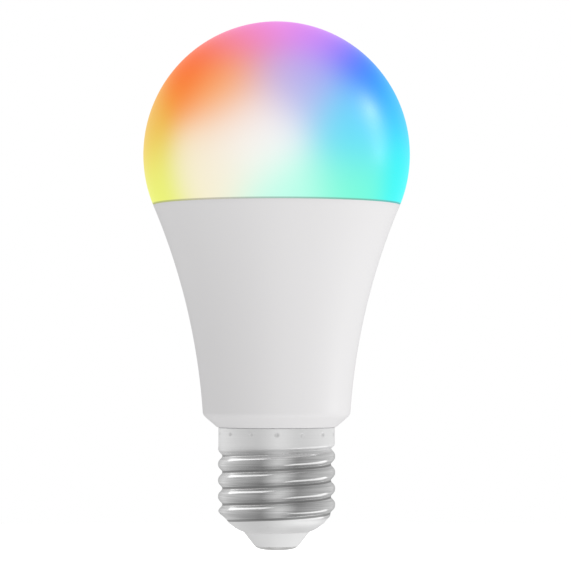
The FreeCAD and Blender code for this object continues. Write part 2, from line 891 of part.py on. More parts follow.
def pin(points):
    """A square pin bent along the points."""
    runs = []
    for a, b in zip(points, points[1:]):
        low = Vector(min(a.x, b.x), min(a.y, b.y), min(a.z, b.z))
        size = Vector(abs(a.x - b.x), abs(a.y - b.y), abs(a.z - b.z)) + Vector(pin_side, pin_side, pin_side)
        runs.append(Part.makeBox(size.x, size.y, size.z, low - Vector(pin_side, pin_side, pin_side) * 0.5))
    return runs[0].multiFuse(runs[1:]).removeSplitter() if len(runs) > 1 else runs[0]


def header_pins():
    """Bent pins from the driver board up through the LED board."""
    return [
        pin(
            [
                Vector(x, -driver_face - 1.1, header_bend_z),
                Vector(x, header_y, header_bend_z),
                Vector(x, header_y, led_face_z + 0.9),
            ]
        )
        for x in row(header_pins_count, pin_pitch)
    ]


def header_body():
    body = block(header_block, Vector(0, header_y, header_bend_z + 1.9))
    return body.cut(header_pins())


def module_pins():
    """Straight pins from the driver board to the radio module."""
    far = driver_face + 0.9
    near = module_y - module_thickness / 2 - 0.7
    return [
        pin([Vector(x, far, module_pins_z), Vector(x, near, module_pins_z)])
        for x in row(module_pins_count, pin_pitch)
    ]


def module_spacer():
    gap = -driver_face - (module_y + module_thickness / 2)
    middle = (-driver_face + module_y + module_thickness / 2) / 2
    body = block(Vector(module_pins_count * pin_pitch, gap, 2.4), Vector(0, middle, module_pins_z))
    return body.cut(module_pins())


# Radio module


def radio_board():
    size = Vector(module_width, module_thickness, module_top_z - module_bottom_z)
    board = block_on(size, 0, module_y, module_bottom_z)
    holes = [
        cylinder(pin_hole_radius, Vector(x, module_y - 2, module_pins_z), 4, Vector(0, 1, 0))
        for x in row(module_pins_count, pin_pitch)
    ]
    return board.cut(holes)


module_front = module_y - module_thickness / 2


def on_module(size, x, z):
    return block(size, Vector(x, module_front - size.y / 2, z))


def radio_chip():
    return softened(on_module(Vector(5.0, 0.85, 5.0), -1.6, 64.2), 0.12, lambda edge: edge.Length > 4.9)


def radio_crystal():
    body = on_module(Vector(2.5, 0.7, 3.2), 4.4, 63.4)
    return softened(body, 0.4, lambda edge: abs(edge.Length - 0.7) < 0.01)


def radio_antenna():
    """The meandering copper track at the module's top."""
    thickness = 0.07
    width = 0.6
    teeth = 6
    step = 1.9
    low_z = module_top_z - 5.2
    high_z = module_top_z - 1.0
    left = -step * teeth / 2
    runs = []
    for n in range(teeth + 1):
        x = left + n * step
        runs.append(on_module(Vector(width, thickness, high_z - low_z), x, (low_z + high_z) / 2))
        if n < teeth:
            z = high_z - width / 2 if n % 2 == 0 else low_z + width / 2
            runs.append(on_module(Vector(step, thickness, width), x + step / 2, z))
    return runs[0].multiFuse(runs[1:]).removeSplitter()


# Mains leads

neutral_side = Vector(math.cos(math.radians(60)), math.sin(math.radians(60)), 0)
neutral_z = 8.55


def live_route():
    return [
        Vector(0, 0, contact_shank_top_z),
        Vector(0, 0, 9.2),
        Vector(-3.6, -3.4, 10.4),
        Vector(-4.2, -2.8, 12.8),
        Vector(-4.2, -driver_face, 12.8),
    ]


def neutral_route():
    return [
        Vector(4.2, driver_face, 12.8),
        Vector(4.2, 2.6, 12.8),
        neutral_side * 6.6 + at(0, neutral_z),
        neutral_side * 9.4 + at(0, neutral_z),
    ]


def lead_ends():
    """The bare ends: two in the driver board, and the strand folded up between neck and cap."""
    through = driver_thickness + 0.9
    live = cylinder(strand_radius, Vector(-4.2, -driver_face, 12.8), through, Vector(0, 1, 0))
    neutral = cylinder(strand_radius, Vector(4.2, driver_face, 12.8), through, Vector(0, -1, 0))
    fold = [
        neutral_side * 9.4 + at(0, neutral_z),
        neutral_side * 11.48 + at(0, neutral_z),
        neutral_side * 11.48 + at(0, 14.2),
    ]
    return group([live, neutral, bent_lead(fold, strand_radius)])


nodes = {
    "diffuser_globe": diffuser_globe,
    "globe_adhesive": globe_adhesive,
    "housing_shell": housing_shell,
    "heatsink_cup": heatsink_cup,
    "screw_cap": screw_cap,
    "base_insulator": base_insulator,
    "centre_contact": centre_contact,
    "thermal_paste": thermal_paste,
    "led_board": led_board,
    "led_board_screws": led_board_screws,
    "warm_led_frames": lambda: on_ring(white_frame(), white_ring_radius, warm_angles),
    "warm_led_phosphor": lambda: on_ring(white_phosphor(), white_ring_radius, warm_angles),
    "cool_led_frames": lambda: on_ring(white_frame(), white_ring_radius, cool_angles),
    "cool_led_phosphor": lambda: on_ring(white_phosphor(), white_ring_radius, cool_angles),
    "colour_led_frames": lambda: on_ring(colour_frame(), colour_ring_radius, colour_angles),
    "colour_led_dies": lambda: on_ring(colour_dies(), colour_ring_radius, colour_angles),
    "colour_led_filling": lambda: on_ring(colour_filling(), colour_ring_radius, colour_angles),
    "led_terminals": emitter_terminals,
    "driver_board": driver_board,
    "input_capacitor": input_capacitor,
    "input_capacitor_sleeve": lambda: upside_down(capacitor_sleeve(*input_can)),
    "output_capacitor": lambda: capacitor(*output_can),
    "output_capacitor_sleeve": lambda: capacitor_sleeve(*output_can),
    "transformer_core": transformer_core,
    "transformer_bobbin": lambda: transformer_bobbin().cut(transformer_pins()),
    "transformer_winding": transformer_winding,
    "transformer_pins": transformer_pins,
    "inductor_core": inductor_core,
    "inductor_winding": inductor_winding,
    "inductor_leads": lambda: group(inductor_leads()),
    "fuse_resistor": fuse_resistor,
    "bridge_rectifier": lambda: package(*bridge_package),
    "power_controller": lambda: package(*controller_package),
    "led_controller": lambda: package(*driver_package),
    "output_diode": lambda: package(*diode_package),
    "chip_leads": chip_leads,
    "chip_resistors": chip_resistors,
    "chip_capacitors": chip_capacitors,
    "solder_joints": solder_joints,
    "board_header": header_body,
    "board_header_pins": lambda: group(header_pins()),
    "module_spacer": module_spacer,
    "module_pins": lambda: group(module_pins()),
    "radio_board": radio_board,
    "radio_chip": radio_chip,
    "radio_crystal": radio_crystal,
    "radio_antenna": radio_antenna,
    "live_lead": lambda: bent_lead(live_route(), lead_radius),
    "neutral_lead": lambda: bent_lead(neutral_route(), lead_radius),
    "lead_ends": lead_ends,
}

os.makedirs("parts", exist_ok=True)
for name, make in nodes.items():
    shape = make()
    solids = shape.Solids
    sound = all(solid.isValid() and solid.isClosed() and solid.Volume > 0 for solid in solids)
    print(f"{name}: {len(solids)} solids, {shape.Volume:.2f} mm3, {'sound' if sound else 'UNSOUND'}")
    Part.makeCompound(solids).exportStep(f"parts/{name}.step")
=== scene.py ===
import bpy
import bmesh
import json
import math
import numpy as np
from mathutils import Matrix, Vector


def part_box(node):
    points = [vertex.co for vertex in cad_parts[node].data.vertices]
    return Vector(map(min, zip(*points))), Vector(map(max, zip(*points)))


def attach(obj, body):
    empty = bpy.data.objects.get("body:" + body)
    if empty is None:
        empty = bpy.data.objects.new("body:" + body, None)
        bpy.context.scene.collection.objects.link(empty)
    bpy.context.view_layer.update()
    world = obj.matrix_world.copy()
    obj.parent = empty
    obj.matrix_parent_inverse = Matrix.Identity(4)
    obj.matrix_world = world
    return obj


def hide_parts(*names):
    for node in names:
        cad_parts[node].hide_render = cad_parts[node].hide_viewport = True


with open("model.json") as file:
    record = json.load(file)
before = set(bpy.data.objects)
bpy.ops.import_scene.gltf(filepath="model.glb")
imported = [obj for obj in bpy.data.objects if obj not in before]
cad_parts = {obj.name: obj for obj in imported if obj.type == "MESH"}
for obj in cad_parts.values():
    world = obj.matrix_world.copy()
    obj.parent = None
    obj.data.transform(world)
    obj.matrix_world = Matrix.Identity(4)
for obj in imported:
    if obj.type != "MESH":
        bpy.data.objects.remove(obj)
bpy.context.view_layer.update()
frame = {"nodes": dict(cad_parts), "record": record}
scene = bpy.context.scene
mm = 0.001

# The camera comes first: everything else is seen through it.
cameraSetup = dict(
    distance=650 * mm,
    height=41.4 * mm,
    lookAt=(2.0 * mm, 0.0, 59.3 * mm),
    lens=182.2,
    sensor=36.0,
    clip=(0.01, 20),
)


def makeCamera(setup):
    data = bpy.data.cameras.new("lampCamera")
    data.lens = setup["lens"]
    data.sensor_width = setup["sensor"]
    data.clip_start, data.clip_end = setup["clip"]
    camera = bpy.data.objects.new("lampCamera", data)
    scene.collection.objects.link(camera)
    camera.location = (0, -setup["distance"], setup["height"])
    sight = Vector(setup["lookAt"]) - camera.location
    camera.rotation_euler = sight.to_track_quat("-Z", "Y").to_euler()
    scene.camera = camera


makeCamera(cameraSetup)
scene.view_settings.view_transform = "Standard"
scene.view_settings.look = "None"
print("camera set")

# The meshes are grids of points, worked out whole.
mergeWithin = 1e-7


def gridPiece(name, points, material, smoothAngle=32):
    # points is (along, around, 3). Each cell of the grid is one face. The last column joins the
    # first, and rings that shrink to a point are merged there.
    along, around, _ = points.shape
    index = np.arange(along * around).reshape(along, around)
    nextColumn = np.roll(index, -1, axis=1)
    quads = np.stack([index[:-1], nextColumn[:-1], nextColumn[1:], index[1:]], axis=-1).reshape(-1, 4)
    mesh = bpy.data.meshes.new(name)
    mesh.from_pydata(points.reshape(-1, 3).tolist(), [], quads.tolist())
    work = bmesh.new()
    work.from_mesh(mesh)
    bmesh.ops.remove_doubles(work, verts=work.verts, dist=mergeWithin)
    bmesh.ops.recalc_face_normals(work, faces=work.faces)
    work.to_mesh(mesh)
    work.free()
    mesh.shade_smooth()
    mesh.set_sharp_from_angle(angle=math.radians(smoothAngle))
    mesh.materials.append(material)
    piece = bpy.data.objects.new(name, mesh)
    scene.collection.objects.link(piece)
    return piece


def lathe(profile, turns):
    # Turns a profile of (radius, height) pairs: x = r cos a, y = r sin a, z = h.
    angle = np.linspace(0, 2 * np.pi, turns, endpoint=False)
    radius, height = profile[:, 0:1], profile[:, 1:2]
    return np.stack([radius * np.cos(angle), radius * np.sin(angle), height + 0 * angle], axis=-1)


def arcPoints(centre, radius, fromAngle, toAngle, count):
    # Points on a circle in the (radius, height) plane, angles in degrees from outward.
    angle = np.radians(np.linspace(fromAngle, toAngle, count))
    return np.stack([centre[0] + radius * np.cos(angle), centre[1] + radius * np.sin(angle)], axis=-1)


def arcCentre(start, end, radius, leftward):
    # The centre of an arc through two points is off the middle of its chord by
    # sqrt(R^2 - (chord / 2)^2), to the left of the way from start to end or to the right of it.
    chord = end - start
    length = np.linalg.norm(chord)
    side = np.array([-chord[1], chord[0]]) / length
    if not leftward:
        side = -side
    return start + chord / 2 + side * math.sqrt(radius**2 - length**2 / 4)


def softCorners(corners, rounding, steps=5, mostOfSide=0.45):
    # A run of straight lines whose inner corners are rounded: each corner is replaced by a
    # quadratic curve from a point before it to a point after it, q(t) = (1-t)^2 a + 2t(1-t) c + t^2 b.
    # A corner takes no more than the given share of the line on either side of it.
    corners = np.asarray(corners, float)
    before, corner, after = corners[:-2], corners[1:-1], corners[2:]
    cut = np.broadcast_to(np.asarray(rounding, float), (len(corner),))[:, None]
    toBefore, toAfter = before - corner, after - corner
    lengthBefore = np.linalg.norm(toBefore, axis=1, keepdims=True)
    lengthAfter = np.linalg.norm(toAfter, axis=1, keepdims=True)
    start = corner + toBefore / lengthBefore * np.minimum(cut, lengthBefore * mostOfSide)
    end = corner + toAfter / lengthAfter * np.minimum(cut, lengthAfter * mostOfSide)
    t = np.linspace(0, 1, steps)[None, :, None]
    curve = (1 - t) ** 2 * start[:, None] + 2 * t * (1 - t) * corner[:, None] + t**2 * end[:, None]
    return np.concatenate([corners[:1], curve.reshape(-1, 2), corners[-1:]])


def smoothStep(value, low, high):
    share = np.clip((value - low) / (high - low), 0, 1)
    return share * share * (3 - 2 * share)


# Shader nodes, each made by a helper that returns its output.
def feed(tree, socket, value):
    # A constant goes on the socket itself, and anything else is linked to it.
    if isinstance(value, (int, float)):
        socket.default_value = value
    elif isinstance(value, tuple):
        socket.default_value = (*value, 1) if socket.type == "RGBA" and len(value) == 3 else value
    else:
        tree.links.new(value, socket)


def mathNode(tree, operation, first, second=None, third=None, clamp=False):
    node = tree.nodes.new("ShaderNodeMath")
    node.operation = operation
    node.use_clamp = clamp
    for socket, value in zip(node.inputs, (first, second, third)):
        if value is not None:
            feed(tree, socket, value)
    return node.outputs[0]


def vectorMath(tree, operation, first, second=None):
    node = tree.nodes.new("ShaderNodeVectorMath")
    node.operation = operation
    feed(tree, node.inputs[0], first)
    if second is not None:
        feed(tree, node.inputs["Scale"] if operation == "SCALE" else node.inputs[1], second)
    return node.outputs["Value"] if operation == "DOT_PRODUCT" else node.outputs["Vector"]


def splitXyz(tree, vector):
    node = tree.nodes.new("ShaderNodeSeparateXYZ")
    tree.links.new(vector, node.inputs[0])
    return node.outputs


def joinXyz(tree, x, y, z):
    node = tree.nodes.new("ShaderNodeCombineXYZ")
    for socket, value in zip(node.inputs, (x, y, z)):
        tree.links.new(value, socket)
    return node.outputs[0]


def movedPoints(tree, vector, shift, turn=(0, 0, 0)):
    node = tree.nodes.new("ShaderNodeMapping")
    node.inputs["Location"].default_value = shift
    node.inputs["Rotation"].default_value = turn
    tree.links.new(vector, node.inputs["Vector"])
    return node.outputs[0]


def mapRange(tree, value, fromLow, fromHigh, toLow, toHigh, smooth=False):
    node = tree.nodes.new("ShaderNodeMapRange")
    if smooth:
        node.interpolation_type = "SMOOTHSTEP"
    bounds = {"From Min": fromLow, "From Max": fromHigh, "To Min": toLow, "To Max": toHigh}
    feed(tree, node.inputs["Value"], value)
    for label, bound in bounds.items():
        feed(tree, node.inputs[label], bound)
    return node.outputs["Result"]


def noiseNode(tree, vector, scale, detail=3.0, roughness=0.55):
    node = tree.nodes.new("ShaderNodeTexNoise")
    node.inputs["Detail"].default_value = detail
    node.inputs["Roughness"].default_value = roughness
    feed(tree, node.inputs["Scale"], scale)
    feed(tree, node.inputs["Vector"], vector)
    return node.outputs["Fac"]


def mixColours(tree, fac, first, second):
    # Sockets 0, 6 and 7 of a mix node are its factor and its two colours.
    node = tree.nodes.new("ShaderNodeMix")
    node.data_type = "RGBA"
    for place, value in ((0, fac), (6, first), (7, second)):
        feed(tree, node.inputs[place], value)
    return node.outputs[2]


# Node groups that the finishes share.
def newGroup(name, inputs, outputs):
    group = bpy.data.node_groups.new(name, "ShaderNodeTree")
    for label, kind, value in inputs:
        socket = group.interface.new_socket(label, in_out="INPUT", socket_type=kind)
        if value is not None:
            socket.default_value = value
    for label, kind in outputs:
        group.interface.new_socket(label, in_out="OUTPUT", socket_type=kind)
    return group, group.nodes.new("NodeGroupInput"), group.nodes.new("NodeGroupOutput")


def makeMottleGroup():
    # Slow drift of a colour round its own value, as batches and handling give it.
    group, given, result = newGroup(
        "colourDrift",
        [("Vector", "NodeSocketVector", None), ("Color", "NodeSocketColor", None),
         ("Scale", "NodeSocketFloat", 40.0), ("Amount", "NodeSocketFloat", 0.03)],
        [("Color", "NodeSocketColor")],
    )
    wide = noiseNode(group, given.outputs["Vector"], given.outputs["Scale"], 2.0)
    spread = mathNode(group, "MULTIPLY", mathNode(group, "SUBTRACT", wide, 0.5), 2.0)
    gain = mathNode(group, "MULTIPLY_ADD", spread, given.outputs["Amount"], 1.0)
    group.links.new(vectorMath(group, "SCALE", given.outputs["Color"], gain), result.inputs["Color"])
    return group


def makeHandlingGroup():
    # Roughness that wanders: broad smears from fingers over a fine speckle.
    group, given, result = newGroup(
        "handlingMarks",
        [("Vector", "NodeSocketVector", None), ("Base", "NodeSocketFloat", 0.4),
         ("Smear Scale", "NodeSocketFloat", 60.0), ("Smear", "NodeSocketFloat", 0.05),
         ("Speckle Scale", "NodeSocketFloat", 900.0), ("Speckle", "NodeSocketFloat", 0.02)],
        [("Roughness", "NodeSocketFloat")],
    )
    smear = noiseNode(group, given.outputs["Vector"], given.outputs["Smear Scale"], 4.0, 0.6)
    speckle = noiseNode(group, given.outputs["Vector"], given.outputs["Speckle Scale"], 2.0)
    marks = mapRange(group, smear, 0.38, 0.68, -1.0, 1.0, smooth=True)
    value = mathNode(group, "MULTIPLY_ADD", marks, given.outputs["Smear"], given.outputs["Base"])
    fine = mathNode(group, "SUBTRACT", speckle, 0.5)
    value = mathNode(group, "MULTIPLY_ADD", fine, given.outputs["Speckle"], value, clamp=True)
    group.links.new(value, result.inputs["Roughness"])
    return group


def makeGrainGroup():
    # Height of a fine moulded or blasted grain: noise with small pits from a cell pattern.
    group, given, result = newGroup(
        "surfaceGrain",
        [("Vector", "NodeSocketVector", None), ("Scale", "NodeSocketFloat", 1500.0),
         ("Pits", "NodeSocketFloat", 0.3)],
        [("Height", "NodeSocketFloat")],
    )
    grain = noiseNode(group, given.outputs["Vector"], given.outputs["Scale"], 3.0, 0.6)
    cells = group.nodes.new("ShaderNodeTexVoronoi")
    cells.feature = "SMOOTH_F1"
    group.links.new(given.outputs["Vector"], cells.inputs["Vector"])
    group.links.new(given.outputs["Scale"], cells.inputs["Scale"])
    pits = mapRange(group, cells.outputs["Distance"], 0.0, 0.45, -1.0, 0.0, smooth=True)
    height = mathNode(group, "MULTIPLY_ADD", pits, given.outputs["Pits"], grain)
    group.links.new(height, result.inputs["Height"])
    return group


def makeScratchGroup():
    # Fine lines that run round the axis: noise squeezed along the height of the piece.
    group, given, result = newGroup(
        "turningLines",
        [("Vector", "NodeSocketVector", None), ("Fineness", "NodeSocketFloat", 6000.0)],
        [("Lines", "NodeSocketFloat"), ("Nicks", "NodeSocketFloat")],
    )
    flattened = vectorMath(group, "MULTIPLY", given.outputs["Vector"], (0.02, 0.02, 1.0))
    lines = noiseNode(group, flattened, given.outputs["Fineness"], 2.0)
    upright = vectorMath(group, "MULTIPLY", given.outputs["Vector"], (1.0, 1.0, 0.35))
    nicks = mapRange(group, noiseNode(group, upright, 420.0, 5.0, 0.7), 0.63, 0.72, 0.0, 1.0, smooth=True)
    group.links.new(lines, result.inputs["Lines"])
    group.links.new(nicks, result.inputs["Nicks"])
    return group


def makeGlowSpotGroup():
    # One soft spot of colour on a ball: weight = exp(tightness * (direction . spot - 1)).
    group, given, result = newGroup(
        "glowSpot",
        [("Direction", "NodeSocketVector", None), ("Spot", "NodeSocketVector", None),
         ("Tightness", "NodeSocketFloat", 9.0), ("Color", "NodeSocketColor", None),
         ("Color So Far", "NodeSocketColor", (0, 0, 0, 1)), ("Weight So Far", "NodeSocketFloat", 0.0)],
        [("Color", "NodeSocketColor"), ("Weight", "NodeSocketFloat")],
    )
    dot = vectorMath(group, "DOT_PRODUCT", given.outputs["Direction"], given.outputs["Spot"])
    away = mathNode(group, "SUBTRACT", dot, 1.0)
    weight = mathNode(group, "EXPONENT", mathNode(group, "MULTIPLY", away, given.outputs["Tightness"]))
    tinted = vectorMath(group, "SCALE", given.outputs["Color"], weight)
    total = vectorMath(group, "ADD", tinted, given.outputs["Color So Far"])
    group.links.new(total, result.inputs["Color"])
    group.links.new(mathNode(group, "ADD", weight, given.outputs["Weight So Far"]), result.inputs["Weight"])
    return group


colourDrift = makeMottleGroup()
handlingMarks = makeHandlingGroup()
surfaceGrain = makeGrainGroup()
turningLines = makeScratchGroup()
glowSpot = makeGlowSpotGroup()
print("shader groups made")


def placeGroup(tree, group, **values):
    node = tree.nodes.new("ShaderNodeGroup")
    node.node_tree = group
    for label, value in values.items():
        feed(tree, node.inputs[label.replace("_", " ")], value)
    return node


def newMaterial(name, **settings):
    material = bpy.data.materials.new(name)
    material.use_nodes = True
    tree = material.node_tree
    shader = tree.nodes["Principled BSDF"]
    for label, value in settings.items():
        shader.inputs[label.replace("_", " ")].default_value = value
    coordinates = tree.nodes.new("ShaderNodeTexCoord").outputs["Object"]
    return material, tree, shader, coordinates


def driftedColour(tree, coordinates, colour, scale, amount):
    drift = placeGroup(tree, colourDrift, Vector=coordinates, Color=colour, Scale=scale, Amount=amount)
    return drift.outputs["Color"]


def addHandling(tree, shader, coordinates, base, smearScale, smear, speckleScale, speckle):
    marks = placeGroup(tree, handlingMarks, Vector=coordinates, Base=base, Smear_Scale=smearScale,
                       Smear=smear, Speckle_Scale=speckleScale, Speckle=speckle)
    tree.links.new(marks.outputs["Roughness"], shader.inputs["Roughness"])


def addBump(tree, shader, height, strength, distance):
    bump = tree.nodes.new("ShaderNodeBump")
    feed(tree, bump.inputs["Strength"], strength)
    bump.inputs["Distance"].default_value = distance
    tree.links.new(height, bump.inputs["Height"])
    tree.links.new(bump.outputs["Normal"], shader.inputs["Normal"])


def addGrain(tree, shader, coordinates, scale, pits, strength, distance):
    grain = placeGroup(tree, surfaceGrain, Vector=coordinates, Scale=scale, Pits=pits)
    addBump(tree, shader, grain.outputs["Height"], strength, distance)


def fromSrgb(red, green, blue):
    # Screen colour, 0 to 255, to linear light.
    screen = np.array([red, green, blue]) / 255
    linear = np.where(screen <= 0.04045, screen / 12.92, ((screen + 0.055) / 1.055) ** 2.4)
    return tuple(float(value) for value in linear)


# The opal globe.
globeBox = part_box("diffuser_globe")
globeLook = dict(
    wall=1.4 * mm,
    skirtWall=1.3 * mm,
    skirtClearance=0.1 * mm,
    seamGap=0.22 * mm,
    rimThickness=1.2 * mm,
    rimInset=0.12 * mm,  # the rim's underside starts this far in from its edge
    rimDrop=0.03 * mm,  # and this far below it
    rounding=0.15 * mm,
    outsideSteps=110,
    insideSteps=80,
    turns=192,
    ior=1.45,
    specular=0.12,
    tightness=20.0,  # how sharply one glow gives way to the next
    sideSoftness=0.12,  # of the radius: rounds the turn of the glow from the front to the back
    diffuseShare=0.22,
    glowStrength=0.8,
    # painted shade along the seam, just above the rim: its height, its strength and its grey
    seamShadeHeight=0.2 * mm,
    seamShadeShare=0.55,
    seamShadeColour=(0.20, 0.20, 0.20),
    drift=dict(scale=90.0, amount=0.012),
    handling=dict(base=0.34, smearScale=55.0, smear=0.02, speckleScale=1400.0, speckle=0.02),
    grain=dict(scale=2200.0, pits=0.2, strength=0.03, distance=0.01 * mm),
    # each glow: degrees to the right of the front, degrees above the middle, screen colour
    glows=dict(
        orange=(-50, 35, (255, 105, 0)),
        salmon=(-20, 55, (250, 135, 140)),
        gold=(-70, 10, (240, 190, 70)),
        lemon=(-65, -15, (235, 245, 110)),
        peach=(-25, 25, (255, 175, 95)),
        cream=(-30, -10, (250, 240, 215)),
        pink=(5, 65, (250, 140, 245)),
        violet=(25, 55, (190, 140, 255)),
        lavender=(10, 30, (185, 180, 240)),
        blue=(50, 35, (0, 105, 255)),
        azure=(35, 10, (100, 220, 250)),
        sky=(70, 20, (30, 200, 250)),
        turquoise=(70, -10, (30, 245, 245)),
        mint=(35, -20, (120, 250, 215)),
        milk=(5, -25, (190, 255, 235)),
        white=(-10, 5, (250, 250, 250)),
    ),
)


def globeProfile(look, box):
    top = box[1].z
    radius = (box[1].x - box[0].x) / 2
    middle = top - radius
    inner = radius - look["wall"]
    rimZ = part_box("housing_shell")[1].z + look["seamGap"]
    rimAngle = -math.degrees(math.asin((middle - rimZ) / radius))
    skirtRadius = look["skirtRadius"]
    flangeZ = rimZ + look["rimThickness"]
    flangeAngle = -math.degrees(math.asin((middle - flangeZ) / inner))
    outside = arcPoints((0, middle), radius, 90, rimAngle, look["outsideSteps"])
    rim = outside[-1]
    skirt = softCorners([
        rim,
        (rim[0] - look["rimInset"], rimZ - look["rimDrop"]),
        (skirtRadius, rimZ - look["rimDrop"]),
        (skirtRadius, box[0].z),
        (skirtRadius - look["skirtWall"], box[0].z),
        (skirtRadius - look["skirtWall"], flangeZ),
        (inner * math.cos(math.radians(flangeAngle)), flangeZ),
    ], look["rounding"])
    inside = arcPoints((0, middle), inner, flangeAngle, 90, look["insideSteps"])
    return np.concatenate([outside, skirt[1:-1], inside])


def blendedGlow(tree, look, direction):
    # The mean of all the glows, each weighted by how near its spot is.
    colour, weight = None, None
    for right, above, screenColour in look["glows"].values():
        azimuth, elevation = math.radians(right), math.radians(above)
        spot = (
            math.sin(azimuth) * math.cos(elevation),
            -math.cos(azimuth) * math.cos(elevation),
            math.sin(elevation),
        )
        node = placeGroup(tree, glowSpot, Direction=direction, Spot=spot,
                          Tightness=look["tightness"], Color=fromSrgb(*screenColour))
        if colour is not None:
            tree.links.new(colour, node.inputs["Color So Far"])
            tree.links.new(weight, node.inputs["Weight So Far"])
        colour, weight = node.outputs["Color"], node.outputs["Weight"]
    return vectorMath(tree, "DIVIDE", colour, joinXyz(tree, weight, weight, weight))


def globeMaterial(look, box):
    radius = (box[1].x - box[0].x) / 2
    middle = box[1].z - radius
    material, tree, shader, coordinates = newMaterial(
        "opalGlobe", IOR=look["ior"], Specular_IOR_Level=look["specular"],
        Emission_Strength=look["glowStrength"],
    )
    x, y, z = splitXyz(tree, movedPoints(tree, coordinates, (0, 0, -middle)))
    # the glow is the same from behind: -sqrt(y^2 + a little) turns both sides to the front
    depth = mathNode(tree, "MULTIPLY_ADD", y, y, (look["sideSoftness"] * radius) ** 2)
    depth = mathNode(tree, "MULTIPLY", mathNode(tree, "SQRT", depth), -1.0)
    direction = vectorMath(tree, "NORMALIZE", joinXyz(tree, x, depth, z))
    glow = driftedColour(tree, coordinates, blendedGlow(tree, look, direction), **look["drift"])
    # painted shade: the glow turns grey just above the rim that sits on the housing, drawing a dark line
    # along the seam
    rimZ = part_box("housing_shell")[1].z + look["seamGap"] - middle
    rim = mapRange(tree, z, rimZ + look["seamShadeHeight"], rimZ, 0.0, look["seamShadeShare"], smooth=True)
    shown = mixColours(tree, rim, glow, look["seamShadeColour"])
    tree.links.new(shown, shader.inputs["Emission Color"])
    tree.links.new(vectorMath(tree, "SCALE", shown, look["diffuseShare"]), shader.inputs["Base Color"])
    addHandling(tree, shader, coordinates, **look["handling"])
    addGrain(tree, shader, coordinates, **look["grain"])
    return material


# The flared housing.
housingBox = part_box("housing_shell")
housingLook = dict(
    footRadius=16.55 * mm,
    footZ=30.2 * mm,
    curveRadius=144.0 * mm,
    undersideRadius=13.35 * mm,
    undersideZ=27.45 * mm,
    wall=1.5 * mm,
    neckBore=10.0 * mm,
    neckRadius=12.66 * mm,
    neckRoot=11.8 * mm,
    neckSlopeFrom=23.3 * mm,
    neckSlopeTo=24.1 * mm,
    floorRadius=12.65 * mm,
    floorZ=28.9 * mm,
    curveFrom=1.2 * mm,  # above the foot, on the outside
    curveFromInside=1.0 * mm,
    curveTo=0.25 * mm,  # below the seam
    outsideSteps=90,
    insideSteps=60,
    lipRounding=0.2 * mm,
    neckRounding=[0.4 * mm] * 7 + [0.35 * mm, 1.1 * mm],
    neckSteps=8,
    turns=192,
    ior=1.5,
    coat=0.12,
    coatRough=0.25,
    colour=(0.795, 0.785, 0.79),
    # a faint grey in noisy patches, in a band just under the seam
    underSeamGrey=(0.45, 0.43, 0.42),
    underSeamDepth=1.3 * mm,
    underSeamPatchScale=260.0,
    underSeamShare=0.12,
    drift=dict(scale=26.0, amount=0.012),
    handling=dict(base=0.42, smearScale=38.0, smear=0.035, speckleScale=1100.0, speckle=0.04),
    grain=dict(scale=1500.0, pits=0.35, strength=0.08, distance=0.03 * mm),
)


def flareCurve(look, seamRadius, seamZ):
    # The arc through the foot and the seam, hollow to the outside.
    foot = np.array([look["footRadius"], look["footZ"]])
    centre = arcCentre(foot, np.array([seamRadius, seamZ]), look["curveRadius"], leftward=False)

    def at(z, depth=0.0):
        reach = look["curveRadius"] + depth
        return centre[0] - np.sqrt(reach**2 - (z - centre[1]) ** 2)

    return at


seamZ = housingBox[1].z
globeRadius = (globeBox[1].x - globeBox[0].x) / 2
seamRadius = math.sqrt(globeRadius**2 - (globeBox[1].z - globeRadius - seamZ) ** 2)
flareAt = flareCurve(housingLook, seamRadius, seamZ)
skirtOpening = float(flareAt(globeBox[0].z, housingLook["wall"]))
globeLook["skirtRadius"] = skirtOpening - globeLook["skirtClearance"]


def housingProfile(look):
    topOfCurve = seamZ - look["curveTo"]
    upward = np.linspace(look["footZ"] + look["curveFrom"], topOfCurve, look["outsideSteps"])
    outside = np.stack([flareAt(upward), upward], axis=-1)
    downward = np.linspace(topOfCurve, look["footZ"] + look["curveFromInside"], look["insideSteps"])
    inside = np.stack([flareAt(downward, look["wall"]), downward], axis=-1)
    lip = softCorners([
        outside[-1],
        (seamRadius, seamZ),
        (float(flareAt(seamZ, look["wall"])), seamZ),
        inside[0],
    ], look["lipRounding"])
    neck = softCorners([
        inside[-1],
        (look["floorRadius"], look["floorZ"]),
        (look["neckBore"], look["floorZ"]),
        (look["neckBore"], housingBox[0].z),
        (look["neckRoot"], housingBox[0].z),
        (look["neckRoot"], look["neckSlopeFrom"]),
        (look["neckRadius"], look["neckSlopeTo"]),
        (look["neckRadius"], look["undersideZ"]),
        (look["undersideRadius"], look["undersideZ"]),
        (look["footRadius"], look["footZ"]),
        outside[0],
    ], look["neckRounding"], look["neckSteps"])
    return np.concatenate([outside, lip[1:-1], inside, neck[1:-1], outside[:1]])


def housingMaterial(look):
    material, tree, shader, coordinates = newMaterial(
        "housingPlastic", IOR=look["ior"], Coat_Weight=look["coat"], Coat_Roughness=look["coatRough"],
    )
    tint = driftedColour(tree, coordinates, look["colour"], **look["drift"])
    # a faint grey, in noisy patches, in a band just under the seam
    z = splitXyz(tree, coordinates)[2]
    nearSeam = mapRange(tree, z, seamZ - look["underSeamDepth"], seamZ, 0.0, 1.0, smooth=True)
    patch = noiseNode(tree, coordinates, look["underSeamPatchScale"], 4.0)
    underSeamMix = mathNode(tree, "MULTIPLY", mathNode(tree, "MULTIPLY", nearSeam, patch), look["underSeamShare"])
    tree.links.new(mixColours(tree, underSeamMix, tint, look["underSeamGrey"]), shader.inputs["Base Color"])
    addHandling(tree, shader, coordinates, **look["handling"])
    addGrain(tree, shader, coordinates, **look["grain"])
    return material


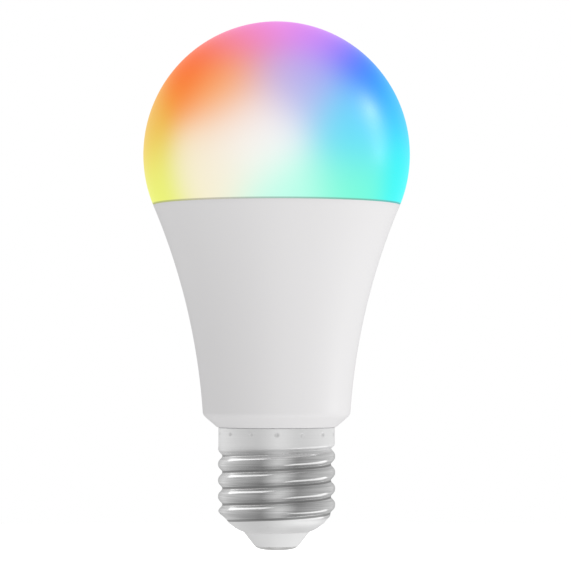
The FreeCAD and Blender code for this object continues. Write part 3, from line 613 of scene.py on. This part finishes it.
# The screw cap.
capLook = dict(
    crestRadius=13.15 * mm,
    rootRadius=12.2 * mm,
    pitch=25.4 * mm / 7,
    firstCrestZ=10.1 * mm,
    crestFlatness=0.18,
    threadBottomZ=6.7 * mm,
    threadFullZ=8.9 * mm,
    fadeZ=22.4 * mm,
    threadTopZ=23.9 * mm,
    collarRadius=13.08 * mm,
    collarTopZ=27.38 * mm,
    bowlTopRadius=11.2 * mm,
    bowlMouthRadius=7.4 * mm,
    bowlMouthZ=4.0 * mm,
    bowlCurve=7.5 * mm,
    sheet=0.3 * mm,
    dimples=14,
    dimpleZ=25.95 * mm,
    dimpleBall=0.6 * mm,
    dimpleDepth=0.28 * mm,
    bowlSteps=22,
    threadSteps=118,
    belowDimpleSteps=4,
    dimpleSteps=21,
    aboveDimpleSteps=6,
    dimpleBand=0.75 * mm,  # half the height of the band of close rows
    crowding=0.72,  # how strongly the columns crowd towards the dimples
    turns=224,
    smoothAngle=50,
    ior=1.5,
    threadColour=(0.70, 0.70, 0.70),
    threadRough=0.2,
    satinColour=(0.94, 0.94, 0.94),
    satinMetal=0.6,
    satinRough=0.45,
    satinFromZ=20.5 * mm,  # the collar's satin begins here and is full at the thread's top
    bowlSatinZ=(6.9 * mm, 7.5 * mm),  # the bowl's satin is full at the first, gone at the second
    # painted shade, towards this grey, in the thread's roots (these values) and in the dimples (below)
    paintedShadeColour=(0.26, 0.26, 0.26),
    rootShadeFrom=-0.85,
    rootShadeFull=-0.94,
    rootShadeShare=0.8,
    rootShadeThinsZ=(20.8 * mm, 22.2 * mm),
    rootShadeAtTop=0.35,
    rootShadeStartsZ=(6.2 * mm, 6.5 * mm),
    # painted shade in the dimples
    dimpleShadeReach=(1.3, 0.2),  # none and full, as shares of the dimple's ball
    dimpleShadeShare=0.18,
    lineFineness=4200.0,
    lineSwing=(0.12, 0.015),  # of the colour, on the thread and on the satin
    nickColour=(0.42, 0.41, 0.39),
    nickShare=0.15,
    nickDepth=-0.6,
    bumpStrength=(0.14, 0.04),  # on the thread and on the satin
    bumpDistance=0.01 * mm,
    drift=dict(scale=120.0, amount=0.03),
    handling=dict(smearScale=150.0, smear=0.02, speckleScale=2500.0, speckle=0.04),
)


def capSurface(look):
    # Radius as a function of angle and height. Thread: root + swell * (wave + 1) / 2 with
    # wave = cos p - f (cos 2p - 1) and p the helix's phase, faded in at the bowl and out at the
    # collar. Dimples are balls pressed in. Columns crowd towards the dimples.
    even = np.linspace(0, 2 * np.pi, look["turns"], endpoint=False)
    angle = even - look["crowding"] / look["dimples"] * np.sin(look["dimples"] * (even + np.pi / 2))
    mouth = np.array([look["bowlMouthRadius"], look["bowlMouthZ"]])
    shoulder = np.array([look["bowlTopRadius"], look["threadBottomZ"]])
    centre = arcCentre(mouth, shoulder, look["bowlCurve"], leftward=True)
    fromAngle = math.degrees(math.atan2(*(mouth - centre)[::-1]))
    toAngle = math.degrees(math.atan2(*(shoulder - centre)[::-1]))
    bowl = arcPoints(centre, look["bowlCurve"], fromAngle, toAngle, look["bowlSteps"])[:-1]
    threadZ = np.linspace(look["threadBottomZ"], look["threadTopZ"], look["threadSteps"])[:-1]
    nearDimple = look["dimpleZ"] + look["dimpleBand"] * np.linspace(-1, 1, look["dimpleSteps"])
    belowDimple = np.linspace(look["threadTopZ"], nearDimple[0], look["belowDimpleSteps"])[:-1]
    aboveDimple = np.linspace(nearDimple[-1], look["collarTopZ"], look["aboveDimpleSteps"])[1:]
    z = np.concatenate([threadZ, belowDimple, nearDimple, aboveDimple])[:, None]
    phase = 2 * np.pi * (z - look["firstCrestZ"]) / look["pitch"] - angle
    wave = np.cos(phase) - look["crestFlatness"] * (np.cos(2 * phase) - 1)
    below = np.clip((look["threadFullZ"] - z) / (look["threadFullZ"] - look["threadBottomZ"]), 0, 1)
    root = look["rootRadius"] - (look["rootRadius"] - look["bowlTopRadius"]) * below**2
    swell = (look["crestRadius"] - look["rootRadius"]) * (wave + 1) / 2
    rolled = root + swell * smoothStep(z, look["threadBottomZ"], look["threadFullZ"])
    radius = rolled + (look["collarRadius"] - rolled) * smoothStep(z, look["fadeZ"], look["threadTopZ"])
    step = 2 * np.pi / look["dimples"]
    offset = (angle + np.pi / 2 + step / 2) % step - step / 2
    reach = (offset * look["collarRadius"]) ** 2 + (z - look["dimpleZ"]) ** 2
    ball = np.sqrt(np.clip(look["dimpleBall"] ** 2 - reach, 0, None))
    pressed = np.clip(ball - (look["dimpleBall"] - look["dimpleDepth"]), 0, None)
    radius = radius - np.where(reach < look["dimpleBall"] ** 2, pressed, 0)
    height = np.concatenate([bowl[:, 1:2], z]) + 0 * angle
    radius = np.concatenate([bowl[:, 0:1] + 0 * angle, radius])
    return np.stack([radius * np.cos(angle), radius * np.sin(angle), height], axis=-1)


def threadRootShade(tree, look, z, aroundAxis, collar):
    # Painted shade lies in the roots, where cos(2 pi (z - first crest) / pitch - angle) is near -1.
    rise = mathNode(tree, "MULTIPLY", mathNode(tree, "SUBTRACT", z, look["firstCrestZ"]),
                    2 * math.pi / look["pitch"])
    phase = mathNode(tree, "SUBTRACT", rise, aroundAxis)
    root = mapRange(tree, mathNode(tree, "COSINE", phase), look["rootShadeFrom"], look["rootShadeFull"], 0.0, 1.0,
                    smooth=True)
    lowTurns = mapRange(tree, z, *look["rootShadeThinsZ"], 1.0, look["rootShadeAtTop"], smooth=True)
    aboveBowl = mapRange(tree, z, *look["rootShadeStartsZ"], 0.0, 1.0)
    turns = mathNode(tree, "MULTIPLY", mathNode(tree, "MULTIPLY", lowTurns, aboveBowl),
                     mathNode(tree, "SUBTRACT", 1.0, collar))
    return mathNode(tree, "MULTIPLY", root, turns)


def dimpleShadeMask(tree, look, z, aroundAxis):
    # Painted shade in the dimples: how far round the collar and up it a point is from the nearest one.
    step = 2 * math.pi / look["dimples"]
    fromFront = mathNode(tree, "ADD", aroundAxis, math.pi / 2 + step / 2)
    around = mathNode(tree, "SUBTRACT", mathNode(tree, "FLOORED_MODULO", fromFront, step), step / 2)
    around = mathNode(tree, "MULTIPLY", around, look["collarRadius"])
    above = mathNode(tree, "SUBTRACT", z, look["dimpleZ"])
    squared = mathNode(tree, "MULTIPLY_ADD", around, around, mathNode(tree, "MULTIPLY", above, above))
    none, full = (share * look["dimpleBall"] for share in look["dimpleShadeReach"])
    return mapRange(tree, mathNode(tree, "SQRT", squared), none, full, 0.0, look["dimpleShadeShare"], smooth=True)


def capMaterial(look):
    # Bright rolled thread with painted shade in its roots and dimples; satin collar and bowl.
    material, tree, shader, coordinates = newMaterial("platedCap", IOR=look["ior"])
    x, y, z = splitXyz(tree, coordinates)
    aroundAxis = mathNode(tree, "ARCTAN2", y, x)
    collar = mapRange(tree, z, look["satinFromZ"], look["threadTopZ"], 0.0, 1.0, smooth=True)
    bowl = mapRange(tree, z, *look["bowlSatinZ"], 1.0, 0.0, smooth=True)
    satin = mathNode(tree, "MAXIMUM", collar, bowl)

    def bySatin(onThread, onSatin):
        return mapRange(tree, satin, 0.0, 1.0, onThread, onSatin)

    rootShade = threadRootShade(tree, look, z, aroundAxis, collar)
    dimpleShade = dimpleShadeMask(tree, look, z, aroundAxis)
    lines = placeGroup(tree, turningLines, Vector=coordinates, Fineness=look["lineFineness"])
    tint = mixColours(tree, satin, look["threadColour"], look["satinColour"])
    tint = driftedColour(tree, coordinates, tint, **look["drift"])
    swing = mapRange(tree, lines.outputs["Lines"], 0.3, 0.7, -1.0, 1.0)
    brushed = mathNode(tree, "ADD", mathNode(tree, "MULTIPLY", swing, bySatin(*look["lineSwing"])), 1.0)
    worn = mathNode(tree, "MULTIPLY", lines.outputs["Nicks"], look["nickShare"])
    colour = mixColours(tree, worn, vectorMath(tree, "SCALE", tint, brushed), look["nickColour"])
    # painted shade: the thread's roots and the dimples darken towards a grey
    paintedShade = mathNode(tree, "MAXIMUM", mathNode(tree, "MULTIPLY", rootShade, look["rootShadeShare"]), dimpleShade)
    tree.links.new(mixColours(tree, paintedShade, colour, look["paintedShadeColour"]), shader.inputs["Base Color"])
    tree.links.new(bySatin(1.0, look["satinMetal"]), shader.inputs["Metallic"])
    base = mapRange(tree, mathNode(tree, "MAXIMUM", satin, rootShade), 0.0, 1.0, look["threadRough"],
                    look["satinRough"])
    addHandling(tree, shader, coordinates, base, **look["handling"])
    height = mathNode(tree, "MULTIPLY_ADD", lines.outputs["Nicks"], look["nickDepth"],
                      lines.outputs["Lines"])
    addBump(tree, shader, height, bySatin(*look["bumpStrength"]), look["bumpDistance"])
    return material


# The insulator and the centre contact.
insulatorLook = dict(
    tipRadius=5.15 * mm,
    tipZ=0.75 * mm,
    tipChamfer=(0.3 * mm, 0.35 * mm),
    mouthRadius=7.38 * mm,
    mouthZ=3.95 * mm,
    seat=((7.55 * mm, 4.45 * mm), (9.6 * mm, 5.75 * mm), (10.5 * mm, 6.55 * mm)),  # under the bowl
    topRadius=8.4 * mm,
    dish=(7.0 * mm, 3.2 * mm),  # outer and inner radius of the hollow in the top
    dishDepth=1.1 * mm,
    collarRadius=2.6 * mm,
    boreRadius=1.1 * mm,
    rounding=0.3 * mm,
    roundingSteps=6,
    turns=128,
)
contactLook = dict(
    radius=4.75 * mm,
    flatRadius=2.6 * mm,
    domeShare=0.82,  # of the radius, where the dome turns steeper
    domeZ=0.2 * mm,
    edgeZ=0.63 * mm,
    topZ=0.75 * mm,
    shankRadius=1.1 * mm,
    shankChamfer=0.3 * mm,
    roundings=[0.5 * mm, 0.5 * mm, 0.08 * mm, 0.06 * mm, 0.05 * mm, 0.1 * mm, 0.1 * mm],
    roundingSteps=6,
    turns=96,
)


def insulatorProfile(look):
    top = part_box("base_insulator")[1].z
    tipInward, tipUpward = look["tipChamfer"]
    return softCorners([
        (look["boreRadius"], top),
        (look["boreRadius"], look["tipZ"]),
        (look["tipRadius"] - tipInward, look["tipZ"]),
        (look["tipRadius"], look["tipZ"] + tipUpward),
        (look["mouthRadius"], look["mouthZ"]),
        *look["seat"],
        (look["topRadius"], top),
        *((radius, top - look["dishDepth"]) for radius in look["dish"]),
        (look["collarRadius"], top),
        (look["boreRadius"], top),
    ], look["rounding"], look["roundingSteps"])


def contactProfile(look):
    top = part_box("centre_contact")[1].z
    return softCorners([
        (0, 0),
        (look["flatRadius"], 0),
        (look["radius"] * look["domeShare"], look["domeZ"]),
        (look["radius"], look["edgeZ"]),
        (look["radius"], look["topZ"]),
        (look["shankRadius"], look["topZ"]),
        (look["shankRadius"], top - look["shankChamfer"]),
        (look["shankRadius"] - look["shankChamfer"], top),
        (0, top),
    ], look["roundings"], look["roundingSteps"])


# One recipe for the plainer finishes, each with its own values.
finishes = dict(
    insulator_grey=dict(colour=(0.75, 0.75, 0.75), rough=0.4, grain=900, bump=0.12, drift=0.03),
    contact_metal=dict(colour=(0.86, 0.86, 0.85), rough=0.34, metal=0.7, grain=1200, bump=0.15, drift=0.06),
    adhesive=dict(colour=(0.72, 0.72, 0.70), rough=0.55, grain=500, bump=0.3, drift=0.05),
    liner_aluminium=dict(colour=(0.74, 0.75, 0.76), rough=0.38, metal=1.0, grain=700, bump=0.2, drift=0.05),
    thermal_paste=dict(colour=(0.80, 0.80, 0.78), rough=0.6, grain=380, bump=0.5, drift=0.05),
    white_solder_mask=dict(colour=(0.86, 0.86, 0.83), rough=0.35, grain=600, bump=0.15, drift=0.02),
    screw_steel=dict(colour=(0.62, 0.62, 0.62), rough=0.3, metal=1.0, grain=1500, bump=0.15, drift=0.06),
    led_frame_white=dict(colour=(0.85, 0.84, 0.81), rough=0.45, grain=1800, bump=0.15, drift=0.02),
    phosphor_warm=dict(colour=(0.86, 0.42, 0.06), rough=0.3, grain=2600, bump=0.2, drift=0.08),
    phosphor_cool=dict(colour=(0.80, 0.66, 0.10), rough=0.3, grain=2600, bump=0.2, drift=0.08),
    led_die=dict(colour=(0.20, 0.17, 0.09), rough=0.2, metal=0.6, grain=5000, bump=0.1, drift=0.2),
    clear_silicone=dict(colour=(0.90, 0.90, 0.90), rough=0.15, grain=900, bump=0.05, drift=0.01, clear=0.9),
    tinned_metal=dict(colour=(0.70, 0.70, 0.69), rough=0.3, metal=1.0, grain=1500, bump=0.2, drift=0.08),
    can_aluminium=dict(colour=(0.76, 0.76, 0.77), rough=0.28, metal=1.0, grain=800, bump=0.1, drift=0.04),
    black_sleeve=dict(colour=(0.02, 0.02, 0.024), rough=0.3, grain=500, bump=0.1, drift=0.2),
    ferrite=dict(colour=(0.035, 0.035, 0.037), rough=0.55, grain=1400, bump=0.5, drift=0.25),
    black_plastic=dict(colour=(0.02, 0.02, 0.02), rough=0.5, grain=1500, bump=0.3, drift=0.2),
    winding_tape=dict(colour=(0.80, 0.52, 0.03), rough=0.25, grain=300, bump=0.15, drift=0.06),
    resistor_green=dict(colour=(0.06, 0.17, 0.09), rough=0.55, grain=900, bump=0.5, drift=0.15),
    chip_black=dict(colour=(0.016, 0.016, 0.018), rough=0.5, grain=2200, bump=0.3, drift=0.2),
    chip_resistor=dict(colour=(0.02, 0.02, 0.025), rough=0.22, grain=2500, bump=0.1, drift=0.2),
    chip_capacitor=dict(colour=(0.28, 0.17, 0.09), rough=0.35, grain=2500, bump=0.2, drift=0.12),
    solder=dict(colour=(0.74, 0.74, 0.73), rough=0.22, metal=1.0, grain=1200, bump=0.3, drift=0.08),
    crystal_can=dict(colour=(0.68, 0.67, 0.63), rough=0.25, metal=1.0, grain=1800, bump=0.12, drift=0.06),
    antenna_copper=dict(colour=(0.72, 0.46, 0.14), rough=0.25, metal=1.0, grain=2000, bump=0.15, drift=0.06),
    wire_red=dict(colour=(0.45, 0.012, 0.01), rough=0.38, grain=900, bump=0.1, drift=0.1),
    wire_black=dict(colour=(0.016, 0.016, 0.016), rough=0.4, grain=900, bump=0.1, drift=0.2),
)
plainLook = dict(
    drift=dict(scale=140.0),
    handling=dict(smearScale=210.0, smear=0.05, speckle=0.05),
    speckleToGrain=1.7,
    pits=0.3,
    bumpDistance=0.04 * mm,
)


def plainFinish(name, finish, look):
    material, tree, shader, coordinates = newMaterial(
        name, Metallic=finish.get("metal", 0.0), Transmission_Weight=finish.get("clear", 0.0),
    )
    tint = driftedColour(tree, coordinates, finish["colour"], amount=finish["drift"], **look["drift"])
    tree.links.new(tint, shader.inputs["Base Color"])
    addHandling(tree, shader, coordinates, finish["rough"],
                speckleScale=finish["grain"] * look["speckleToGrain"], **look["handling"])
    addGrain(tree, shader, coordinates, finish["grain"], look["pits"], finish["bump"], look["bumpDistance"])
    return material


windingLook = dict(
    coat=0.4,
    waveScale=640.0,
    waveDistortion=0.3,
    # painted shade in the grooves between the turns
    grooveShadeColour=(0.20, 0.05, 0.015),
    wireColour=(0.72, 0.30, 0.11),
    drift=dict(scale=300.0, amount=0.1),
    handling=dict(base=0.28, smearScale=300.0, smear=0.05, speckleScale=3000.0, speckle=0.05),
    bump=dict(strength=0.8, distance=0.06 * mm),
)


def copperWindingFinish(look):
    # Turns of lacquered wire, stacked along the drum's length, with painted shade in the grooves between
    # them.
    material, tree, shader, coordinates = newMaterial(
        "copper_wire", Metallic=1.0, Coat_Weight=look["coat"],
    )
    wave = tree.nodes.new("ShaderNodeTexWave")
    wave.bands_direction = "Z"
    wave.inputs["Scale"].default_value = look["waveScale"]
    wave.inputs["Distortion"].default_value = look["waveDistortion"]
    tree.links.new(coordinates, wave.inputs["Vector"])
    # painted shade: the grooves between the turns are darker
    colour = mixColours(tree, wave.outputs["Fac"], look["grooveShadeColour"], look["wireColour"])
    tree.links.new(driftedColour(tree, coordinates, colour, **look["drift"]), shader.inputs["Base Color"])
    addHandling(tree, shader, coordinates, **look["handling"])
    addBump(tree, shader, wave.outputs["Fac"], **look["bump"])
    return material


boardLook = dict(
    coat=0.3,
    coatRough=0.15,
    trackShift=(0.0, 0.0, 1.3 * mm),
    trackTurn=(math.radians(90), 0, 0),  # the pattern lies in XZ, as the boards do
    trackScale=210.0,
    gap=0.03,
    gapSoftness=0.2,
    drift=dict(scale=900.0, amount=0.06),
    handling=dict(base=0.32, smearScale=120.0, smear=0.05, speckleScale=2500.0, speckle=0.05),
    bump=dict(strength=0.35, distance=0.03 * mm),
)


def boardFinish(name, look, mask, track):
    # Solder mask over copper: tracks show as slightly lighter bands with square corners.
    material, tree, shader, coordinates = newMaterial(
        name, Coat_Weight=look["coat"], Coat_Roughness=look["coatRough"],
    )
    bricks = tree.nodes.new("ShaderNodeTexBrick")
    bricks.inputs["Scale"].default_value = look["trackScale"]
    bricks.inputs["Mortar Size"].default_value = look["gap"]
    bricks.inputs["Mortar Smooth"].default_value = look["gapSoftness"]
    turned = movedPoints(tree, coordinates, look["trackShift"], look["trackTurn"])
    tree.links.new(turned, bricks.inputs["Vector"])
    colour = mixColours(tree, bricks.outputs["Fac"], track, mask)
    tree.links.new(driftedColour(tree, coordinates, colour, **look["drift"]), shader.inputs["Base Color"])
    addHandling(tree, shader, coordinates, **look["handling"])
    addBump(tree, shader, mathNode(tree, "SUBTRACT", 1.0, bricks.outputs["Fac"]), **look["bump"])
    return material


slotMaterials = {slot: plainFinish(slot, finish, plainLook) for slot, finish in finishes.items()}
slotMaterials["copper_wire"] = copperWindingFinish(windingLook)
slotMaterials["green_board"] = boardFinish("green_board", boardLook, (0.010, 0.075, 0.022),
                                           (0.022, 0.13, 0.040))
slotMaterials["radio_board_blue"] = boardFinish("radio_board_blue", boardLook, (0.008, 0.02, 0.09),
                                                (0.016, 0.04, 0.16))
slotMaterials["opal_diffuser"] = globeMaterial(globeLook, globeBox)
slotMaterials["housing_white"] = housingMaterial(housingLook)
slotMaterials["cap_metal"] = capMaterial(capLook)
print("materials made:", len(slotMaterials))

# Every carried-over node takes its slot's finish.
nodeSlots = {part["node"]: part["material_slot"] for part in frame["record"]["subparts"]}
for node, piece in frame["nodes"].items():
    for place in piece.material_slots:
        place.material = slotMaterials[nodeSlots[node]]
print("inner nodes painted:", len(nodeSlots))


def standFor(piece, node):
    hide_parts(node)
    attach(piece, "root")


standFor(gridPiece("opalGlobe", lathe(globeProfile(globeLook, globeBox), globeLook["turns"]),
                   slotMaterials["opal_diffuser"]), "diffuser_globe")
standFor(gridPiece("flaredHousing", lathe(housingProfile(housingLook), housingLook["turns"]),
                   slotMaterials["housing_white"]), "housing_shell")
cap = gridPiece("threadedCap", capSurface(capLook), slotMaterials["cap_metal"], capLook["smoothAngle"])
sheet = cap.modifiers.new("sheet", "SOLIDIFY")
sheet.thickness = capLook["sheet"]
sheet.offset = -1
standFor(cap, "screw_cap")
standFor(gridPiece("capInsulator", lathe(insulatorProfile(insulatorLook), insulatorLook["turns"]),
                   slotMaterials["insulator_grey"]), "base_insulator")
standFor(gridPiece("tipContact", lathe(contactProfile(contactLook), contactLook["turns"]),
                   slotMaterials["contact_metal"]), "centre_contact")
print("outer pieces built")

# The studio.
studio = dict(
    floorZ=-0.16,
    floorSize=6.0,
    floorColour=(0.9, 0.9, 0.9),
    white=(1.0, 1.0, 1.0),
    softMiddle=0.92,
    softLean=(0.32, 0.0, -0.22),  # soft light grows to the right and from below
    # the mirrored room: pale walls, a dark flag each side and a window in the middle, each with the
    # facing of the wall that mirrors it, in degrees right, and how bright it is
    mirroredRoom=dict(
        behindLeft=(-90, 0.45),
        leftWall=(-65, 0.9),
        leftCorner=(-40, 0.6),
        leftFlag=(-15, 0.35),
        windowLeft=(0, 0.8),
        windowRight=(5, 0.8),
        rightFlag=(20, 0.35),
        rightCorner=(45, 0.6),
        rightWall=(70, 0.8),
        behindRight=(90, 0.45),
    ),
    mirrorSteep=0.82,  # share left for walls that lean more than the two angles below
    steepFrom=26,
    steepFull=40,
)


def makeWorld(setup):
    # A soft white room. Gloss sees its own ring of grey: a wall facing a degrees right and leaning
    # e degrees up mirrors the way (x, y, z) with tan a = x / (1 - y), tan e = z / sqrt(x^2 + (1 - y)^2).
    world = bpy.data.worlds.new("studioRoom")
    world.use_nodes = True
    scene.world = world
    tree = world.node_tree
    tree.nodes.clear()
    outgoing = tree.nodes.new("ShaderNodeOutputWorld")
    way = tree.nodes.new("ShaderNodeTexCoord").outputs["Generated"]
    softGrey = mathNode(tree, "ADD", vectorMath(tree, "DOT_PRODUCT", way, setup["softLean"]),
                        setup["softMiddle"])
    x, y, z = splitXyz(tree, way)
    forward = mathNode(tree, "SUBTRACT", 1.0, y)
    facing = mathNode(tree, "ARCTAN2", x, forward)
    squared = mathNode(tree, "MULTIPLY_ADD", x, x, mathNode(tree, "MULTIPLY", forward, forward))
    leaning = mathNode(tree, "ARCTAN2", z, mathNode(tree, "SQRT", squared))
    leaning = mathNode(tree, "ABSOLUTE", leaning)
    # the ramp runs from 90 degrees left, at 0, to 90 degrees right, at 1
    ring = tree.nodes.new("ShaderNodeValToRGB")
    stops = ring.color_ramp.elements
    features = list(setup["mirroredRoom"].values())
    for degrees, _ in features[1:-1]:
        stops.new(degrees / 180 + 0.5)
    for stop, (_, grey) in zip(stops, features):
        stop.color = (grey, grey, grey, 1)
    tree.links.new(mathNode(tree, "MULTIPLY_ADD", facing, 1 / math.pi, 0.5), ring.inputs["Fac"])
    steep = mapRange(tree, leaning, math.radians(setup["steepFrom"]), math.radians(setup["steepFull"]),
                     1.0, setup["mirrorSteep"], smooth=True)
    mirrorGrey = vectorMath(tree, "SCALE", ring.outputs["Color"], steep)
    rays = tree.nodes.new("ShaderNodeLightPath")
    room = tree.nodes.new("ShaderNodeBackground")
    tree.links.new(mixColours(tree, rays.outputs["Is Glossy Ray"], softGrey, mirrorGrey),
                   room.inputs["Color"])
    plain = tree.nodes.new("ShaderNodeBackground")
    feed(tree, plain.inputs["Color"], setup["white"])
    choose = tree.nodes.new("ShaderNodeMixShader")
    tree.links.new(rays.outputs["Is Camera Ray"], choose.inputs[0])
    tree.links.new(room.outputs[0], choose.inputs[1])
    tree.links.new(plain.outputs[0], choose.inputs[2])
    tree.links.new(choose.outputs[0], outgoing.inputs["Surface"])


makeWorld(studio)


def makeFloor(setup):
    # A white sheet that lights itself, clear from below, which no gloss or soft light sees.
    half, z = setup["floorSize"] / 2, setup["floorZ"]
    corners = [(-half, -half, z), (half, -half, z), (half, half, z), (-half, half, z)]
    mesh = bpy.data.meshes.new("paleFloor")
    mesh.from_pydata(corners, [], [(0, 1, 2, 3)])
    floor = bpy.data.objects.new("paleFloor", mesh)
    scene.collection.objects.link(floor)
    material, tree, shader, _ = newMaterial("paleFloor", Roughness=0.7, Emission_Strength=1.0)
    feed(tree, shader.inputs["Base Color"], setup["floorColour"])
    feed(tree, shader.inputs["Emission Color"], setup["white"])
    back = tree.nodes.new("ShaderNodeNewGeometry").outputs["Backfacing"]
    unseen = tree.nodes.new("ShaderNodeBsdfTransparent")
    choose = tree.nodes.new("ShaderNodeMixShader")
    tree.links.new(back, choose.inputs[0])
    tree.links.new(shader.outputs[0], choose.inputs[1])
    tree.links.new(unseen.outputs[0], choose.inputs[2])
    tree.links.new(choose.outputs[0], tree.nodes["Material Output"].inputs["Surface"])
    mesh.materials.append(material)
    floor.visible_glossy = False
    floor.visible_diffuse = False


makeFloor(studio)

# Cards that show only in gloss, each on the pieces named: the middle of the card, the direction
# of its long side, its length and width, and its power in watts.
cards = dict(
    globeStrip=dict(place=(0.90, 0.10, 0.30), along=(0.15, 0.05, -0.60), size=(0.55, 0.15), power=4.6,
                    pieces=("opalGlobe", "flaredHousing")),
    globeStripHead=dict(place=(0.80, 0.10, 0.50), along=(0.20, 0.0, -0.35), size=(0.20, 0.15), power=4.2,
                        pieces=("opalGlobe",)),
    upperLeftCard=dict(place=(-0.40, 0.05, 0.55), along=(-0.55, 0.95, -0.35), size=(0.95, 0.40), power=1.05,
                       pieces=("threadedCap",)),
    lowerRightCard=dict(place=(0.45, 0.10, -0.50), along=(0.55, 0.95, 0.35), size=(0.95, 0.40), power=0.95,
                        pieces=("threadedCap",)),
)
cardTarget = Vector((0, 0, 0.03))


def makeCard(name, setup):
    data = bpy.data.lights.new(name, "AREA")
    data.shape = "RECTANGLE"
    data.size, data.size_y = setup["size"]
    data.energy = setup["power"]
    card = bpy.data.objects.new(name, data)
    scene.collection.objects.link(card)
    place = Vector(setup["place"])
    backward = (place - cardTarget).normalized()
    along = Vector(setup["along"])
    along = (along - backward * along.dot(backward)).normalized()
    turn = Matrix((along, backward.cross(along), backward)).transposed()
    card.matrix_world = Matrix.Translation(place) @ turn.to_4x4()
    card.visible_camera = False
    card.visible_diffuse = False
    lit = bpy.data.collections.new(name + "Pieces")
    for piece in setup["pieces"]:
        lit.objects.link(bpy.data.objects[piece])
    card.light_linking.receiver_collection = lit


for name, setup in cards.items():
    makeCard(name, setup)
print("studio lit")
